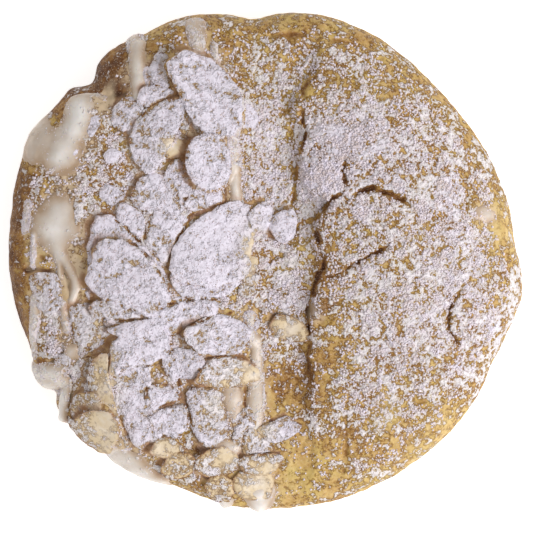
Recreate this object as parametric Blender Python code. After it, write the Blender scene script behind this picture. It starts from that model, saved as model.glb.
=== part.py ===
"""A round, flat almond croissant: laminated crust, poured icing and flaked almonds, fused in one solid.

The solid is in metres with +Z up. It rests on its flat base at z = 0, centred on the origin, and is seen
in its usual view from straight above, with +Y up the page. Sizes below are in millimetres and degrees.
"""

import math
import random

import bpy
import bmesh
import numpy as np
from mathutils import Vector

MM = 0.001

# The crust: a disc with a rounded shoulder, widest at its waist and tucked in under it.
RIM = 58.0
WAIST = 8.0
TOP = 19.0
SHOULDER_POWER = 6.0
GRID_CELLS = 44
RIM_CROWDING = 0.12
UNDERSIDE = [(0.992, 5.4), (0.972, 3.0), (0.948, 1.1), (0.925, 0.0)]

# Where the rim leaves a true circle: direction, how far round it is felt, and how far it swells.
RIM_MARKS = [
    (140, 34, 3.4), (160, 7, 0.9), (151, 5, 1.2), (133.8, 2.8, -2.8), (124, 5, 0.7), (108, 9, 1.1),
    (93, 5, -1.6), (75, 15, 1.3), (40, 14, -0.9), (14, 5, 0.4), (0, 4, 0.7), (-7, 6, 2.2),
    (-13.5, 2.0, 0.3), (-19, 4, 0.5), (-24, 4, -0.8), (-75, 18, -0.6), (-90, 9, -0.5), (180, 16, 1.1),
    (206, 4, 1.2), (211.3, 1.8, -1.4), (219, 7, 1.5), (249, 11, -2.2),
]

# Broad rises and hollows of the top: middle, reach along X and Y, height.
RISES = [
    (30, 3, 19, 26, 3.6), (24, 30, 16, 14, 1.2), (-25, -12, 17, 24, 2.6), (-20, 34, 13, 12, 1.6),
    (3, 18, 7, 26, -1.6), (5, -27, 9, 13, -1.8), (9, -50, 22, 8, -1.6), (51, 14, 6, 13, -1.6),
    (50, -30, 9, 9, -1.2), (-50, 2, 7, 20, -1.0), (13, 20, 4.5, 4.5, 1.2), (5, -13, 5, 4, 1.0),
    (-50, -7, 5, 5, 1.2),
]

# Creases and cracks of the crust: width, depth, points from end to end.
CREASES = [
    (2.4, 1.5, [(11, 43.5), (8.3, 40), (6, 36), (8.7, 30), (6.8, 24), (8.5, 17)]),
    (2.4, 1.6, [(15, 15), (12, 10), (11.5, 4), (12.5, 0), (10.5, -8), (10, -18), (9.8, -28)]),
    (1.5, 1.8, [(20, 15.7), (24.5, 17.3), (28, 16), (33, 13.5)]),
    (1.5, 1.5, [(14.5, -3), (20, 0.3), (28, 4.2)]),
    (1.4, 1.4, [(44, -6.5), (41.8, -12), (43, -17), (45, -19.5)]),
    (1.4, 1.3, [(18, 24), (17.5, 20), (18.5, 17)]),
    (1.6, 1.2, [(18.3, -33), (18, -48)]),
    (1.8, 1.2, [(-3, 52), (10, 53), (21.5, 50.3)]),
]
SEAM = [(-60, 9.5), (-28, 9.8), (-10, 10), (0, 12.5), (12, 13), (20, 8), (30, 8.7), (43, 10), (60, 12)]
SEAM_STEP = 1.3
SEAM_REACH = 3.0

# Stripes of icing: width, height, how far the end hangs below the brow, points of the middle line.
STRIPES = [
    (3.3, 1.0, 5.0, [(-29.8, 40), (-29.3, 46), (-29.8, 50)]),
    (5.0, 1.0, 5.0, [(-14.0, 47), (-15.0, 50), (-15.5, 54)]),
    (2.6, 1.2, 0.0, [(-11.5, 49), (-7.5, 33), (-6.8, 25), (-6.2, 15), (-5.0, 5), (-3.0, -8), (-2.4, -18)]),
    (2.8, 1.4, 0.0, [(-2.6, -14), (-2.2, -25), (-1.8, -33), (-1.6, -42)]),
    (5.6, 1.8, 4.0, [(-1.8, -42), (-1.3, -47), (-1.2, -52)]),
    (4.0, 1.5, 2.5, [(-9.5, -44), (-9.2, -48), (-9.1, -52)]),
    (3.2, 1.3, 0.0, [(-49, 9), (-48, 2), (-45.2, -3), (-44.6, -8), (-46, -13)]),
    (2.8, 1.2, 4.0, [(-46.2, -12), (-46.3, -22), (-46.5, -31)]),
]
STRIPE_SIDES = 6
STRIPE_STEP = 3.5
BROW = 13.0
BLUNT_END = 0.75
TIP_REACH = 0.35

# Pools of icing: middle, length, width, heading of the length, height.
POOLS = [
    (-43, 35, 9, 8, 90, 1.6), (-48, 27.5, 17, 11, 35, 1.7), (-47.5, 8, 14, 7, 75, 1.4),
    (-9, -32, 9, 6.5, 80, 1.2), (-5.2, -1.5, 5, 3.6, 0, 1.0), (-53, -15, 12, 3.6, 95, 1.2),
    (-49.8, -26, 8.5, 5.5, -25, 1.6),
]
POOL_RINGS = (0.0, 0.55, 0.9)
POOL_SEGMENTS = 10
POOL_SINK = 1.0

# Flaked almonds, lowest first: middle, length, width, heading of the tip.
FLAKES = [
    (-25, 28.5, 21, 11, 65), (-22, 17.5, 15, 9, 15), (-32, 34.5, 9, 7, -60), (-25.5, 38.7, 9, 5, 15),
    (-23.8, 44.5, 9, 5.5, -70), (-17, 33, 10, 6, -40), (-12.5, 23.5, 14, 11, 100), (-13, 40, 24, 13.5, -50),
    (-23.5, 7, 13, 8, 60), (-35, 6.5, 14, 8.5, -35), (-31, 11, 8, 5, 30), (-34.5, -9.5, 15, 9, -10),
    (-20, -11.5, 18, 7, 22), (-29.5, -15, 14, 9, 5), (-24, -19, 13, 9, 35), (-38.5, -28, 14, 6.5, 80),
    (-31, -2, 20, 13.5, -30), (-11.5, 4.5, 24, 16, 48), (-8.5, -24.5, 13, 7, -10), (-10.5, -16.5, 15, 9, 5),
    (-38.5, -38.5, 11, 7.5, 20), (-31, -45.5, 13, 6, -32), (-22.5, -42, 9, 5.5, 10),
    (-23.5, -30.5, 9, 6, 10), (-21.5, -36.5, 11, 8, 30), (-29.5, -28, 24, 13, 105),
    (-14, -33.5, 14, 9, -60), (-20, -46.5, 9, 6.5, 0), (-11.5, -45, 10, 7.5, 35), (-10.5, -51, 7, 6, 60), (-2, -41, 8, 6, -30), (-1.5, -46, 10, 5, 10),
    (4, -37.5, 9, 5, 20), (-5, -37, 7, 4, 60), (4, 8.5, 8.5, 6.5, 50), (-37, 25, 7, 5, 30),
]
SMALL_FLAKES = 12
SMALL_FLAKE_SEED = 7
SMALL_FLAKE_GAP = 6.5
SMALL_FLAKE_REACH = 50
FLAKE_THICKNESS = 1.2
FLAKE_CUP = 0.35
FLAKE_TWIST = 0.25
TIP_TAPER = 0.45
FLAKE_SINK = 0.8
STEEPEST_LEAN = 0.8
FLAKE_RINGS = (0.0, 0.6, 1.0)
FLAKE_SEGMENTS = 9
SMALL_RINGS = (0.0, 1.0)
SMALL_SEGMENTS = 7
SMALL_LENGTH = 8.0

# The settled heap is kept as heights on a square grid of this pitch.
HEAP_PITCH = 1.0
HEAP_REACH = 62

SHARP_ANGLE = 45


def rim_radius(angle):
    """Radius of the crust's widest line in a direction, in degrees."""
    radius = np.full(np.shape(angle), RIM)
    for mark, spread, swell in RIM_MARKS:
        away = (angle - mark + 180.0) % 360.0 - 180.0
        radius = radius + swell * np.exp(-((away / spread) ** 2))
    return radius


def crease(x, y, width, depth, points):
    """Depth of a crease below the crust: full along its line, fading over its width and at its ends."""
    nearest = np.full(np.shape(x), 1e9)
    for (ax, ay), (bx, by) in zip(points, points[1:]):
        run_x, run_y = bx - ax, by - ay
        share = ((x - ax) * run_x + (y - ay) * run_y) / (run_x**2 + run_y**2)
        share = np.clip(share, 0.0, 1.0)
        nearest = np.minimum(nearest, np.hypot(x - ax - share * run_x, y - ay - share * run_y))
    return depth * np.exp(-((nearest / width) ** 2))


def crust_height(x, y):
    """Height of the crust's top above the base, at places inside the rim."""
    relief = np.zeros(np.shape(x))
    for mid_x, mid_y, reach_x, reach_y, height in RISES:
        relief = relief + height * np.exp(-(((x - mid_x) / reach_x) ** 2) - ((y - mid_y) / reach_y) ** 2)
    seam_y, seam_x = zip(*SEAM)
    relief = relief + SEAM_STEP * np.tanh((x - np.interp(y, seam_y, seam_x)) / SEAM_REACH)
    for width, depth, points in CREASES:
        relief = relief - crease(x, y, width, depth, points)
    share = np.hypot(x, y) / rim_radius(np.degrees(np.arctan2(y, x)))
    shoulder = np.sqrt(np.clip(1.0 - share**SHOULDER_POWER, 0.0, 1.0))
    return WAIST + (TOP - WAIST + relief) * shoulder


def rim_point(angle, share, height):
    """A point in a direction, at a share of the rim's radius and a height."""
    radius = share * float(rim_radius(angle))
    return radius * math.cos(math.radians(angle)), radius * math.sin(math.radians(angle)), height


def shoulder_point(angle, height):
    """A point of the shoulder in a direction, at a height between the waist and the top."""
    lift = min(max((height - WAIST) / (TOP - WAIST), 0.0), 1.0)
    return rim_point(angle, (1.0 - lift**2) ** (1.0 / SHOULDER_POWER), height)


def mesh_object(name, points, faces):
    """An object from points in millimetres, with its faces turned outward."""
    mesh = bpy.data.meshes.new(name)
    mesh.from_pydata([Vector(point) * MM for point in points], [], faces)
    build = bmesh.new()
    build.from_mesh(mesh)
    bmesh.ops.recalc_face_normals(build, faces=build.faces)
    build.to_mesh(mesh)
    build.free()
    return bpy.data.objects.new(name, mesh)


def disc_place(across, up):
    """Moves a place of the square grid, from -1 to 1 each way, to its share of the rim and direction."""
    ring = max(abs(across), abs(up))
    if ring == 0.0:
        return 0.0, 0.0
    if abs(across) >= abs(up):
        angle = 45.0 * up / across + (0.0 if across > 0 else 180.0)
    else:
        angle = 90.0 - 45.0 * across / up + (0.0 if up > 0 else 180.0)
    return ring + RIM_CROWDING * ring * math.sin(math.pi * ring), angle


def make_crust():
    """The crust: a grid drawn into a disc and lifted to the relief, its edge drawn down to a flat base."""
    build = bmesh.new()
    bmesh.ops.create_grid(build, x_segments=GRID_CELLS, y_segments=GRID_CELLS, size=1.0)
    for vert in build.verts:
        share, angle = disc_place(vert.co.x, vert.co.y)
        x, y, _ = rim_point(angle, share, 0.0)
        vert.co = Vector((x, y, float(crust_height(x, y)))) * MM
    for share, height in UNDERSIDE:
        edges = [edge for edge in build.edges if edge.is_boundary]
        drawn = bmesh.ops.extrude_edge_only(build, edges=edges)["geom"]
        for vert in (item for item in drawn if isinstance(item, bmesh.types.BMVert)):
            angle = math.degrees(math.atan2(vert.co.y, vert.co.x))
            vert.co = Vector(rim_point(angle, share, height)) * MM
    bmesh.ops.contextual_create(build, geom=[edge for edge in build.edges if edge.is_boundary])
    bmesh.ops.recalc_face_normals(build, faces=build.faces)
    mesh = bpy.data.meshes.new("crust")
    build.to_mesh(mesh)
    build.free()
    return bpy.data.objects.new("crust", mesh)


def stripe_line(hang, points):
    """The middle line of a stripe, evenly stepped over the crust, and the stretch down the side."""
    line = []
    for (ax, ay), (bx, by) in zip(points, points[1:]):
        steps = max(1, round(math.hypot(bx - ax, by - ay) / STRIPE_STEP))
        line += [(ax + (bx - ax) * i / steps, ay + (by - ay) * i / steps) for i in range(steps)]
    line.append(points[-1])
    line = [(x, y, float(crust_height(x, y))) for x, y in line]
    if hang:
        angle = math.degrees(math.atan2(line[-1][1], line[-1][0]))
        brim = line[-1][2]
        steps = max(2, round((brim - WAIST) / STRIPE_STEP))
        drop = brim - (BROW - hang)
        line += [shoulder_point(angle, brim - drop * i / steps) for i in range(1, steps + 1)]
    return [Vector(point) for point in line]


def make_stripe(number, width, height, hang, points):
    """A stripe of icing: a low rounded ridge swept along its line, with both ends drawn to a point."""
    line = stripe_line(hang, points)
    verts = []
    for i, middle in enumerate(line):
        ahead = (line[min(i + 1, len(line) - 1)] - line[max(i - 1, 0)]).normalized()
        outward = Vector((middle.x, middle.y, 0)).normalized()
        steep = abs(ahead.z)
        normal = (Vector((0, 0, 1)) * (1.0 - steep) + outward * steep).normalized()
        across = ahead.cross(normal).normalized()
        normal = across.cross(ahead).normalized()
        full = BLUNT_END if i in (0, len(line) - 1) else 1.0
        for j in range(STRIPE_SIDES):
            turn = 2 * math.pi * j / STRIPE_SIDES + math.pi / 2
            verts.append(middle + across * (0.5 * width * full * math.cos(turn))
                         + normal * (height * full * math.sin(turn)))
    faces = []
    for i in range(len(line) - 1):
        for j in range(STRIPE_SIDES):
            k = (j + 1) % STRIPE_SIDES
            start, end = i * STRIPE_SIDES, (i + 1) * STRIPE_SIDES
            faces.append((start + j, start + k, end + k, end + j))
    for end, inner in ((0, 1), (len(line) - 1, len(line) - 2)):
        tip = len(verts)
        verts.append(line[end] + (line[end] - line[inner]).normalized() * TIP_REACH * width)
        faces += [(end * STRIPE_SIDES + j, end * STRIPE_SIDES + (j + 1) % STRIPE_SIDES, tip)
                  for j in range(STRIPE_SIDES)]
    return mesh_object(f"stripe_{number}", verts, faces)


def plate_faces(rings, segments):
    """Faces of a closed plate: a fan and bands on each side, and a band round the edge.

    Each side has its middle point first, then its rings from the inside out."""
    side_size = 1 + rings * segments
    faces = []
    for base in (0, side_size):
        for j in range(segments):
            k = (j + 1) % segments
            faces.append((base, base + 1 + j, base + 1 + k))
            for ring in range(rings - 1):
                inner, outer = base + 1 + ring * segments, base + 1 + (ring + 1) * segments
                faces += [(inner + j, outer + j, outer + k), (inner + j, outer + k, inner + k)]
    top_edge = 1 + (rings - 1) * segments
    low_edge = side_size + top_edge
    for j in range(segments):
        k = (j + 1) % segments
        faces += [(top_edge + j, low_edge + j, low_edge + k), (top_edge + j, low_edge + k, top_edge + k)]
    return faces


def turned(a, b, x, y, heading):
    """A place given along and across a piece, in the crust's own directions."""
    c, s = math.cos(math.radians(heading)), math.sin(math.radians(heading))
    return x + a * c - b * s, y + a * s + b * c


def make_pool(number, x, y, length, width, heading, height):
    """A pool of icing: a lens that follows the crust, sunk a little into it."""
    over, under = [], []
    for share in POOL_RINGS:
        for j in range(POOL_SEGMENTS if share else 1):
            turn = 2 * math.pi * j / POOL_SEGMENTS
            a, b = 0.5 * length * share * math.cos(turn), 0.5 * width * share * math.sin(turn)
            px, py = turned(a, b, x, y, heading)
            floor = float(crust_height(px, py))
            over.append((px, py, floor + height * (1.0 - share**2)))
            under.append((px, py, floor - POOL_SINK))
    return mesh_object(f"pool_{number}", over + under, plate_faces(len(POOL_RINGS) - 1, POOL_SEGMENTS))


def flake_edge(turn, length, width):
    """Outline of a flaked almond: round at one end and drawn to a tip at the other."""
    taper = abs(math.sin(0.5 * turn)) ** TIP_TAPER
    return 0.5 * length * math.cos(turn), 0.5 * width * math.sin(turn) * taper


def flake_curl(a, b, length, width):
    """How far a flake's surface curls away from flat: cupped along it and a little twisted."""
    along, across = 2 * a / length, 2 * b / width
    return FLAKE_CUP * (along**2 - 0.6 * across**2) + FLAKE_TWIST * along * across


class Heap:
    """Heights of the crust and of the flakes settled on it so far."""

    def __init__(self):
        self.marks = np.arange(-HEAP_REACH, HEAP_REACH + HEAP_PITCH, HEAP_PITCH)
        x, y = np.meshgrid(self.marks, self.marks, indexing="ij")
        self.height = crust_height(x, y)

    def at(self, x, y):
        """Height of the heap at the nearest grid place."""
        i = np.rint((np.asarray(x) + HEAP_REACH) / HEAP_PITCH).astype(int)
        j = np.rint((np.asarray(y) + HEAP_REACH) / HEAP_PITCH).astype(int)
        return self.height[i, j]

    def settle(self, x, y, length, width, heading):
        """Drops a flake on the heap and gives its height and its two slopes, then adds it to the heap."""
        a, b = np.meshgrid(np.arange(-0.5 * length, 0.5 * length + 0.1, 1.0),
                           np.arange(-0.5 * width, 0.5 * width + 0.1, 1.0), indexing="ij")
        inside = (2 * a / length) ** 2 + (2 * b / width) ** 2 <= 1.0
        a, b = a[inside], b[inside]
        px, py = turned(a, b, x, y, heading)
        bare = self.at(px, py) - flake_curl(a, b, length, width)
        table = np.column_stack((np.ones_like(a), a, b))
        middle, slope_a, slope_b = np.linalg.lstsq(table, bare, rcond=None)[0]
        slope_a = float(np.clip(slope_a, -STEEPEST_LEAN, STEEPEST_LEAN))
        slope_b = float(np.clip(slope_b, -STEEPEST_LEAN, STEEPEST_LEAN))
        lift = bare - middle - slope_a * a - slope_b * b
        middle = float(middle) + float(lift.max()) - FLAKE_SINK
        top = middle + slope_a * a + slope_b * b + flake_curl(a, b, length, width) + FLAKE_THICKNESS
        i = np.rint((px + HEAP_REACH) / HEAP_PITCH).astype(int)
        j = np.rint((py + HEAP_REACH) / HEAP_PITCH).astype(int)
        np.maximum.at(self.height, (i, j), top)
        return middle, slope_a, slope_b


def make_flake(heap, number, x, y, length, width, heading):
    """A flaked almond: a thin curled plate, settled on what lies under it."""
    middle, slope_a, slope_b = heap.settle(x, y, length, width, heading)
    small = length < SMALL_LENGTH
    rings = SMALL_RINGS if small else FLAKE_RINGS
    segments = SMALL_SEGMENTS if small else FLAKE_SEGMENTS
    over, under = [], []
    for share in rings:
        for j in range(segments if share else 1):
            a, b = flake_edge(2 * math.pi * j / segments, length, width)
            a, b = a * share, b * share
            px, py = turned(a, b, x, y, heading)
            floor = middle + slope_a * a + slope_b * b + flake_curl(a, b, length, width)
            over.append((px, py, floor + FLAKE_THICKNESS))
            under.append((px, py, floor))
    return mesh_object(f"flake_{number}", over + under, plate_faces(len(rings) - 1, segments))


def small_flake_places():
    """Broken bits of almond: seeded places between the large flakes, on the covered side."""
    draw = random.Random(SMALL_FLAKE_SEED)
    places = []
    while len(places) < SMALL_FLAKES:
        x, y = draw.uniform(-44, -3), draw.uniform(-48, 46)
        length = draw.uniform(4.0, 6.5)
        width = length * draw.uniform(0.55, 0.8)
        heading = draw.uniform(0, 360)
        gap = min(math.hypot(x - place[0], y - place[1]) for place in FLAKES + places)
        if math.hypot(x, y) < SMALL_FLAKE_REACH and gap > SMALL_FLAKE_GAP:
            places.append((x, y, length, width, heading))
    return places


def baked_material():
    """Golden brown baked dough."""
    material = bpy.data.materials.new("baked_crust")
    material.use_nodes = True
    shader = material.node_tree.nodes["Principled BSDF"]
    shader.inputs["Base Color"].default_value = (0.50, 0.33, 0.16, 1.0)
    shader.inputs["Roughness"].default_value = 0.75
    shader.inputs["Metallic"].default_value = 0.0
    return material


def fuse(body, pieces):
    """Joins the pieces to the body by one union, applies it and removes the pieces."""
    loose = bpy.data.collections.new("fused_on")
    bpy.context.scene.collection.children.link(loose)
    for piece in pieces:
        loose.objects.link(piece)
    union = body.modifiers.new("fuse", "BOOLEAN")
    union.operation = "UNION"
    union.operand_type = "COLLECTION"
    union.collection = loose
    union.solver = "EXACT"
    evaluated = body.evaluated_get(bpy.context.evaluated_depsgraph_get())
    joined = bpy.data.meshes.new_from_object(evaluated)
    body.modifiers.clear()
    body.data = joined
    for piece in pieces:
        bpy.data.objects.remove(piece)
    bpy.data.collections.remove(loose)


def keep_outer_shell(body):
    """Drops sealed hollows and loose scraps: only the shell with the widest reach stays."""
    build = bmesh.new()
    build.from_mesh(body.data)
    bmesh.ops.triangulate(build, faces=build.faces)
    unseen = set(build.faces)
    shells = []
    while unseen:
        stack = [unseen.pop()]
        shell = set(stack)
        while stack:
            for edge in stack.pop().edges:
                for face in edge.link_faces:
                    if face in unseen:
                        unseen.remove(face)
                        shell.add(face)
                        stack.append(face)
        shells.append(shell)
    shells.sort(key=len)
    scraps = [face for shell in shells[:-1] for face in shell]
    bmesh.ops.delete(build, geom=scraps, context="FACES")
    build.to_mesh(body.data)
    build.free()


def centre_on_base(body):
    """Moves the mesh so that its box is centred over the origin with its base at zero."""
    mesh = body.data
    low = [min(vert.co[axis] for vert in mesh.vertices) for axis in range(3)]
    high = [max(vert.co[axis] for vert in mesh.vertices) for axis in range(3)]
    shift = Vector((-0.5 * (low[0] + high[0]), -0.5 * (low[1] + high[1]), -low[2]))
    for vert in mesh.vertices:
        vert.co += shift


def main():
    for old in list(bpy.data.objects):
        bpy.data.objects.remove(old)
    pastry = make_crust()
    pastry.name = "pastry"
    bpy.context.scene.collection.objects.link(pastry)
    heap = Heap()
    pieces = [make_stripe(i, *stripe) for i, stripe in enumerate(STRIPES)]
    pieces += [make_pool(i, *pool) for i, pool in enumerate(POOLS)]
    places = FLAKES + small_flake_places()
    pieces += [make_flake(heap, i, *place) for i, place in enumerate(places)]
    fuse(pastry, pieces)
    keep_outer_shell(pastry)
    centre_on_base(pastry)
    pastry.data.materials.clear()
    pastry.data.materials.append(baked_material())
    pastry.data.shade_smooth()
    pastry.data.set_sharp_from_angle(angle=math.radians(SHARP_ANGLE))


main()
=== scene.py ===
"""A round, flat almond croissant seen from above: dough, poured icing, flaked almonds and fine sugar.

Sizes are in millimetres and degrees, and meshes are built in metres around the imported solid.
"""

import math
import random

import bpy
import numpy as np
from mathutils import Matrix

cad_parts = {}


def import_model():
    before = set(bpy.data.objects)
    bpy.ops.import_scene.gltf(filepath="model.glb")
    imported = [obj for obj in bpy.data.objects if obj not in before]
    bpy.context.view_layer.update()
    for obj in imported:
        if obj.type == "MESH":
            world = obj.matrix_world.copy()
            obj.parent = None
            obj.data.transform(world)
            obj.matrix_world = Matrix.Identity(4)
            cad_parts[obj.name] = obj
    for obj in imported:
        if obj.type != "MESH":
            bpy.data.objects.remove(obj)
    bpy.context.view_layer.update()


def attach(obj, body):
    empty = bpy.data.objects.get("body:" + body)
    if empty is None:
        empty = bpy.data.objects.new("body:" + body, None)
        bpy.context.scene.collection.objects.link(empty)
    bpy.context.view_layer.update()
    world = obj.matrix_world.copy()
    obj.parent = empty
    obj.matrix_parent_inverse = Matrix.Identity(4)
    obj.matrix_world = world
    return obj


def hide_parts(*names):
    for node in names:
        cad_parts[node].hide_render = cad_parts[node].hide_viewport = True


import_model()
MM = 0.001

# ------------------------------------------------------------------------------------------------
# The dough: laminated croissant dough, folded, pressed into a flat round and baked golden brown.
# A thick lobe on the right laps over the middle at a long seam, and the crust cracked as it rose.
# It is made as two halves of one skin, the top and the underside, that meet round the shoulder.

RIM = 58.0
WAIST = 8.0
TOP = 19.0
SHOULDER_POWER = 6.0
BASE_SHARE = 0.925
OUTLINE_MIDDLE = (-0.07, 0.22)

# Where the rim leaves a true circle: direction, how far round it is felt, and how far it swells.
RIM_MARKS = [
    (140, 34, 3.4), (160, 7, 0.9), (151, 5, 1.2), (133.8, 2.8, -2.8), (124, 5, 0.7), (108, 9, 1.1),
    (93, 5, -1.6), (75, 15, 1.3), (40, 14, -0.9), (14, 5, 0.4), (0, 4, 0.7), (-7, 6, 2.2),
    (-13.5, 2.0, 0.3), (-19, 4, 0.5), (-24, 4, -0.8), (-75, 18, -0.6), (-90, 9, -0.5), (180, 16, 1.1),
    (206, 4, 1.2), (211.3, 1.8, -1.4), (219, 7, 1.5), (249, 11, -2.2),
]

# Broad rises and hollows of the top: middle, reach along X and Y, height.
RISES = [
    (30, 3, 19, 26, 3.6), (24, 30, 16, 14, 1.2), (-25, -12, 17, 24, 2.6), (-20, 34, 13, 12, 1.6),
    (3, 18, 7, 26, -1.6), (5, -27, 9, 13, -1.8), (9, -50, 22, 8, -1.6), (51, 14, 6, 13, -1.6),
    (50, -30, 9, 9, -1.2), (-50, 2, 7, 20, -1.0), (13, 20, 4.5, 4.5, 0.5), (5, -13, 5, 4, 0.5),
    (-50, -7, 5, 5, 1.2),
]

# The seam: the lobe's edge, as its place across the top at each place up it, and the step it makes.
SEAM = [
    (-60, 11), (-40, 10.5), (-27, 9.8), (-20, 9.5), (-15, 10), (-9, 10), (-4, 11.5), (1, 13), (5, 11),
    (10, 12), (14, 14.5), (16, 11), (17, 8.6), (20, 7.5), (24, 6.8), (30, 8.7), (33, 7.2), (36, 6),
    (40, 8.3), (43.5, 11), (50, 12), (60, 12),
]
SEAM_STEP = 1.2
SEAM_REACH = 0.9
SEAM_EDGE = [(0.6, 3.5, 11)]
# How the step dies away at the lobe's lower and upper end: the place, the run, and the share that stays.
SEAM_LOWER_END = (-44.0, 18.0, 0.35)
SEAM_UPPER_END = (58.0, 14.0, 0.3)

# Cracks where the crust tore, and softer creases: width, depth, points from end to end.
CRACKS = [
    (0.5, 1.0, [(12, 43.5), (10.5, 42), (8.4, 40), (8.5, 37.5)]),
    (0.5, 1.1, [(8.2, 36), (8.3, 33), (9, 30), (8.6, 27), (7.4, 25)]),
    (0.4, 0.7, [(7, 23.5), (6.8, 20), (6.4, 17), (6.3, 13)]),
    (0.45, 0.8, [(3.5, 35.3), (6, 35.2)]),
    (0.4, 0.9, [(17.5, 16.3), (15, 14.8), (13, 12.3), (11.5, 10.3), (9, 9.2)]),
    (0.6, 1.2, [(11.2, 8), (11.8, 5.5), (12.3, 4)]),
    (0.55, 1.4, [(13.3, 1.5), (13.1, -1), (11.5, -3.5), (10.9, -6), (10.8, -8)]),
    (0.45, 1.2, [(10, -8.5), (9.8, -12), (9.9, -16)]),
    (0.5, 0.9, [(10, -17.5), (9.6, -20), (9.5, -24), (10.5, -26.8)]),
    (0.5, 1.6, [(19.8, 15.5), (22, 16.6), (24.5, 17.3), (28, 16), (31, 14.5), (33.2, 13.4)]),
    (0.45, 1.2, [(17.4, -2.2), (19.2, -0.5), (20.5, 0.3), (24, 2), (28, 4.2)]),
    (0.35, 0.7, [(14, -2.4), (15, -3), (16.6, -2)]),
    (0.39, 1.3, [(44.5, -6), (42, -10), (41.7, -14.5), (43, -17), (45, -19.5)]),
    (0.4, 0.9, [(18.3, 24), (17.6, 21), (18.3, 17.5)]),
    (0.39, 0.7, [(31, -33.5), (34, -32.2), (37.5, -31.2)]),
    (0.33, 0.6, [(26, -38), (28.2, -39), (28.4, -41)]),
    (0.5, 0.6, [(18.3, -33), (18.4, -40), (18, -46)]),
    (0.5, 0.7, [(17.4, -47.6), (18.4, -48)]),
    (0.3, 0.4, [(45.7, 21), (46.2, 15), (45.6, 9)]),
    (0.33, 0.6, [(53.5, -6), (56, -4)]),
    (0.6, 0.6, [(-3, 52), (3, 52.9), (10, 53)]),
    (0.5, 0.8, [(14.5, 51.8), (18, 51), (21.5, 50.3)]),
    (0.39, 0.7, [(0, 57), (0.4, 55), (-0.4, 54)]),
    (0.33, 0.6, [(0.5, -5.6), (3, -6.4), (6.5, -7.5)]),
    (0.39, 0.8, [(1, -13.5), (2.7, -11)]),
    (0.33, 0.6, [(0.2, 0), (2, 1.5), (4.5, 2)]),
    (0.39, 0.6, [(25.8, 47.5), (27.8, 47.4)]),
    (0.33, 0.6, [(22, 46), (22, 43.5)]),
    (0.33, 0.7, [(35, 43.2), (38, 41.5)]),
    (0.39, 0.6, [(11.7, -49.5), (12, -47.5)]),
    (0.5, 1.2, [(-56.5, -1.4), (-53, -1.1), (-50.5, -1.6), (-48, -2)]),
    (0.45, 1.0, [(-52.5, 2), (-50.8, 0.7)]),
    (0.5, 1.0, [(-46.6, -1), (-45.7, -3.2), (-45, -6.3)]),
    (0.6, 1.0, [(-54, -22.2), (-50, -22.9), (-47.5, -22.2), (-46.5, -20)]),
    (0.7, 1.0, [(-44.6, -33), (-44.7, -36)]),
    (0.5, 0.8, [(-45.2, -25), (-45.6, -28), (-45, -32)]),
    (0.8, 0.8, [(-38, 38.6), (-33.5, 39.2), (-30.5, 38.3)]),
]
CRACK_EDGE = [(0.34, 2.2, 21), (0.272, 0.9, 22)]
CRACK_TIP_DEPTH = 0.25
CRACK_DEEPENING = 5.0

# Large odd numbers that scatter the corners of the noise, and the masks that keep their low bits.
SCATTER = (73856093, 19349663, 83492791)
SEED_SCATTER = 2654435761
LAST_SCATTER = 1274126177
LOW_31_BITS = 0x7FFFFFFF
LOW_16_BITS = 0xFFFF


def lattice_noise(points, size, seed):
    """Smooth noise from -1 to 1 at places in millimetres, with lumps of the given size."""
    place = np.asarray(points, dtype=np.float64) / size
    corner = np.floor(place).astype(np.int64)
    part = place - corner
    part = part * part * (3.0 - 2.0 * part)
    total = np.zeros(len(place))
    for step in np.ndindex(2, 2, 2):
        cell = (corner + step) * SCATTER
        mixed = cell[:, 0] ^ cell[:, 1] ^ cell[:, 2] ^ (seed * SEED_SCATTER)
        mixed = (mixed ^ (mixed >> 13)) * LAST_SCATTER & LOW_31_BITS
        mixed = (mixed ^ (mixed >> 15)) & LOW_16_BITS
        weight = np.prod(np.where(np.array(step) == 1, part, 1.0 - part), axis=1)
        total += weight * (2.0 * mixed / LOW_16_BITS - 1.0)
    return total


def unevenness(points, layers):
    """The sum of layers of smooth noise, each given as its strength, the size of its lumps and its seed."""
    return sum(strength * lattice_noise(points, size, seed) for strength, size, seed in layers)


def plan_unevenness(x, y, layers):
    """The same over the plan."""
    return unevenness(np.column_stack((x, y, np.zeros_like(x))), layers)


def rim_radius(angle):
    """Radius of the crust's widest line in a direction, in degrees."""
    radius = np.full(np.shape(angle), RIM)
    for mark, spread, swell in RIM_MARKS:
        away = (angle - mark + 180.0) % 360.0 - 180.0
        radius = radius + swell * np.exp(-((away / spread) ** 2))
    return radius


def line_distance(x, y, points):
    """Distance to a bent line, and how far along it the nearest place is, from 0 to 1."""
    runs = [math.hypot(bx - ax, by - ay) for (ax, ay), (bx, by) in zip(points, points[1:])]
    nearest = np.full(np.shape(x), 1e9)
    along = np.zeros(np.shape(x))
    done = 0.0
    for (ax, ay), (bx, by), run in zip(points, points[1:], runs):
        share = np.clip(((x - ax) * (bx - ax) + (y - ay) * (by - ay)) / run**2, 0.0, 1.0)
        away = np.hypot(x - ax - share * (bx - ax), y - ay - share * (by - ay))
        closer = away < nearest
        nearest = np.where(closer, away, nearest)
        along = np.where(closer, (done + share * run) / sum(runs), along)
        done += run
    return nearest, along


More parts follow.
